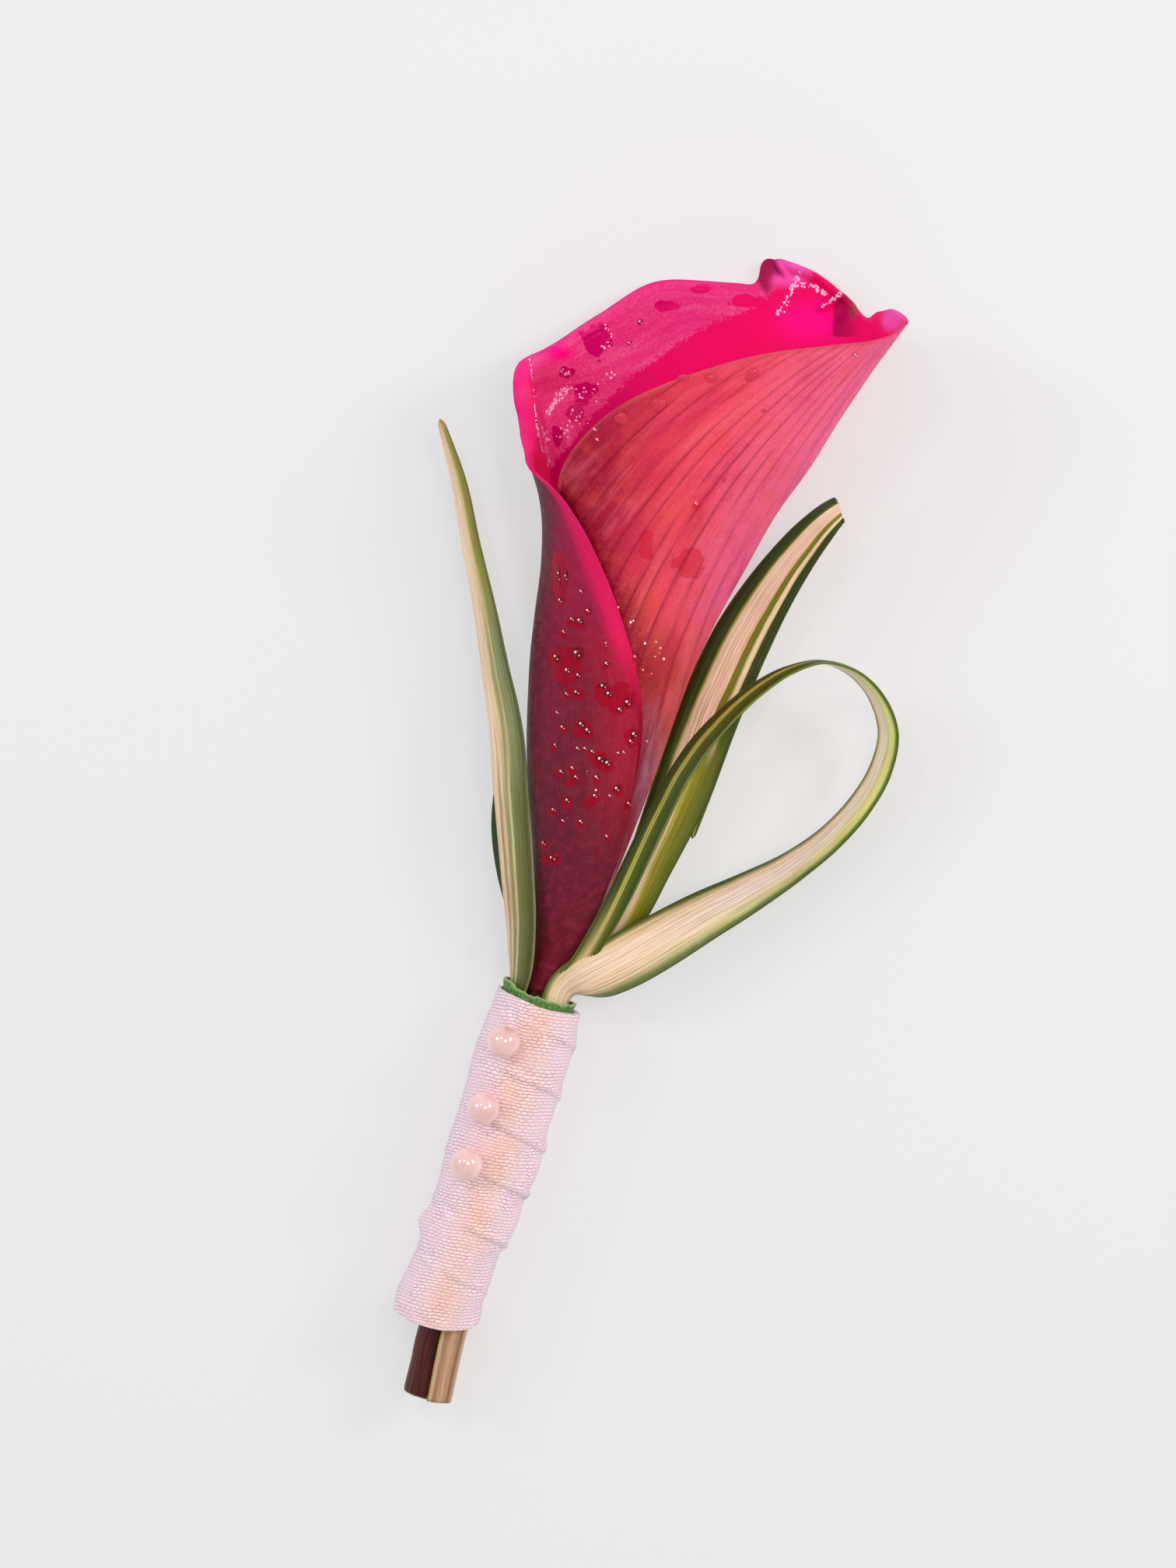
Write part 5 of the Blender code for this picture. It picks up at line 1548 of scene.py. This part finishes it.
def camera_ray(pixel):
    """Start and direction of the sight line through a pixel of the photograph, in the handle's frame."""
    right = (pixel[0] - PHOTO_WIDTH / 2) * PIXEL
    up = (PHOTO_HEIGHT / 2 - pixel[1]) * PIXEL
    seen = np.array((*CAMERA_AIM, PIXEL_PLANE)) + right * PICTURE_RIGHT + up * PICTURE_UP
    start = Vector((*CAMERA_AIM, CAMERA_HEIGHT))
    return start, (Vector(seen.tolist()) - start).normalized()


def drop_points(centre, normal, half_width, half_length, lean, rings, sides):
    """Flattened dome that sits on a surface, closed underneath."""
    up = np.array(normal)
    along = np.array((-math.sin(CAMERA_ROLL + lean), math.cos(CAMERA_ROLL + lean), 0.0))
    along = unit(along - up * np.dot(along, up))
    side = np.cross(along, up)
    height = DROP_HEIGHT * min(half_width, half_length)
    points = []
    for rise in np.linspace(0.0, 0.94, rings) * math.pi / 2:
        for a in ring_angles(sides):
            edge = (1 + 0.1 * math.sin(3 * a + 7 * lean)) * math.cos(rise)
            out = side * half_width * math.cos(a) * edge + along * half_length * math.sin(a) * edge
            points.append(np.array(centre) + out + up * (height * math.sin(rise) - DROP_SINK))
    return points


def wanted_drops():
    """Pixel, half width, half length, tint and lift of every drop. Tint is 1 for the pale fine ones, which
    are painted glints.
    """
    rng = np.random.default_rng(5)
    left, top, right, bottom = PLAIN_DROPS
    wanted = []
    for x, y, half_width, half_length in DROPS:
        wanted.append((x, y, half_width, half_length, 0.0, 0.0))
        if left < x < right and top < y < bottom:
            continue
        size = min(half_width, half_length)
        for dx, dy, share in GLINT_BEADS:
            bead = share * (BEAD_SHARE * size + BEAD_LEAST)
            at = (x + dx * half_width / PIXEL, y + dy * half_length / PIXEL)
            wanted.append((*at, bead, bead, 1.0, BEAD_LIFT * DROP_HEIGHT * size))
    for (x0, y0), (x1, y1), spread, count in GLINT_SPRAY:
        for share, dx, dy, size in rng.random((count, 4)):
            x = x0 + (x1 - x0) * share + spread * (2 * dx - 1)
            y = y0 + (y1 - y0) * share + spread * (2 * dy - 1)
            wanted.append((x, y, 0.07 + 0.13 * size**2, 0.07 + 0.15 * size**2, 1.0, 0.0))
    return wanted


def point_values(mesh, name):
    values = np.empty(len(mesh.vertices), np.float32)
    mesh.attributes[name].data.foreach_get("value", values)
    return values


def make_drops(target):
    """Drops of water, each set on the petal where the photograph shows it."""
    mesh = target.data
    points = (np.array([v.co for v in mesh.vertices]) - ORIGIN) / MM
    tree = BVHTree.FromPolygons(points.tolist(), [tuple(p.vertices) for p in mesh.polygons])
    face, turn = point_values(mesh, "face"), point_values(mesh, "turn")
    rng = np.random.default_rng(8)
    verts, faces, kinds = [], [], []
    for x, y, half_width, half_length, tint, lift in wanted_drops():
        start, direction = camera_ray((x, y))
        hit, normal, index, _ = tree.ray_cast(start, direction)
        if hit is None:
            continue
        if normal.dot(direction) > 0:
            normal = -normal
        rings, sides = BEAD_GRID if tint else DROP_GRID
        faces += ring_faces(rings, sides, first=len(verts))
        lean = rng.normal(0, 0.3)
        verts += drop_points(hit + normal * lift, normal, half_width, half_length, lean, rings, sides)
        corner = mesh.polygons[index].vertices[0]
        kinds += [(tint, face[corner], turn[corner] > FRONT_TURN)] * (rings * sides)
    values = dict(zip(("fine", "inside", "front"), np.array(kinds, float).T))
    piece = add_mesh("water_drops", verts, faces, water_look(), values=values)
    return place(face_outward(piece), "spathe")


# Stage


# The floor glows a little, so that the shadows on it stay as light as in the photograph
FLOOR_GLOW = 0.5
FLOOR_GREY = 0.36
FLOOR_HALF = 3.0


def make_floor():
    mesh = bpy.data.meshes.new("floor")
    corners = [(x * FLOOR_HALF, y * FLOOR_HALF, 0.0) for x, y in ((-1, -1), (1, -1), (1, 1), (-1, 1))]
    mesh.from_pydata(corners, [], [(0, 1, 2, 3)])
    look = bpy.data.materials.new("Pale floor")
    look.use_nodes = True
    sockets = look.node_tree.nodes["Principled BSDF"].inputs
    sockets["Base Color"].default_value = grey(FLOOR_GREY)
    sockets["Emission Color"].default_value = grey(1.0)
    sockets["Emission Strength"].default_value = FLOOR_GLOW
    sockets["Roughness"].default_value = 0.9
    sockets["Specular IOR Level"].default_value = 0.1
    mesh.materials.append(look)
    floor = add_object("floor", mesh)
    floor.location.z = CAD_BOX[0][2] - 0.0002


def make_camera():
    data = bpy.data.cameras.new("camera")
    data.sensor_fit = "VERTICAL"
    data.sensor_height = SENSOR
    data.lens = SENSOR * (CAMERA_HEIGHT - PIXEL_PLANE) / (PHOTO_HEIGHT * PIXEL)
    data.clip_start = 0.01
    camera = add_object("camera", data)
    camera.location = to_world((*CAMERA_AIM, CAMERA_HEIGHT)).tolist()
    camera.rotation_euler = (0.0, 0.0, CAMERA_ROLL)
    bpy.context.scene.camera = camera


# Lights: name, direction towards it as right, up and out of the picture, distance, size, power and colour.
LIGHTS = (
    ("left window", (-0.75, 0.3, 0.6), 0.6, 0.13, 0.62, (0.84, 0.85, 1.0)),
    ("right window", (0.76, 0.25, 0.6), 0.6, 0.17, 1.0, (1.0, 0.95, 0.98)),
    ("warm strip", (0.2, 0.1, 0.95), 0.6, 0.2, 0.5, (1.0, 0.8, 0.6)),
    ("high glint", (-0.3, 0.4, 0.86), 0.6, 0.08, 0.3, (1.0, 1.0, 1.0)),
)
LIT_POINT = (0.0, 40.0, 10.0)
WORLD_STRENGTH = 0.58


def make_lights():
    target = to_world(LIT_POINT)
    for name, (r, u, out), distance, size, power, tint in LIGHTS:
        data = bpy.data.lights.new(name, "AREA")
        data.shape = "SQUARE"
        data.size = size
        data.energy = power
        data.color = tint
        direction = unit(r * PICTURE_RIGHT + u * PICTURE_UP + np.array((0.0, 0.0, out)))
        light = add_object(name, data)
        light.location = (target + direction * distance).tolist()
        light.rotation_euler = Vector((-direction).tolist()).to_track_quat("-Z", "Y").to_euler()
    world = bpy.data.worlds.new("studio")
    world.use_nodes = True
    background = world.node_tree.nodes["Background"]
    background.inputs["Color"].default_value = (0.98, 0.98, 1.0, 1.0)
    background.inputs["Strength"].default_value = WORLD_STRENGTH
    bpy.context.scene.world = world
    bpy.context.scene.view_settings.view_transform = "Standard"


make_camera()
make_floor()
make_lights()
bloom = make_spathe()
make_spadix()
make_stem()
make_grass()
make_tape()
make_ribbon()
make_pearls()
make_drops(bloom)
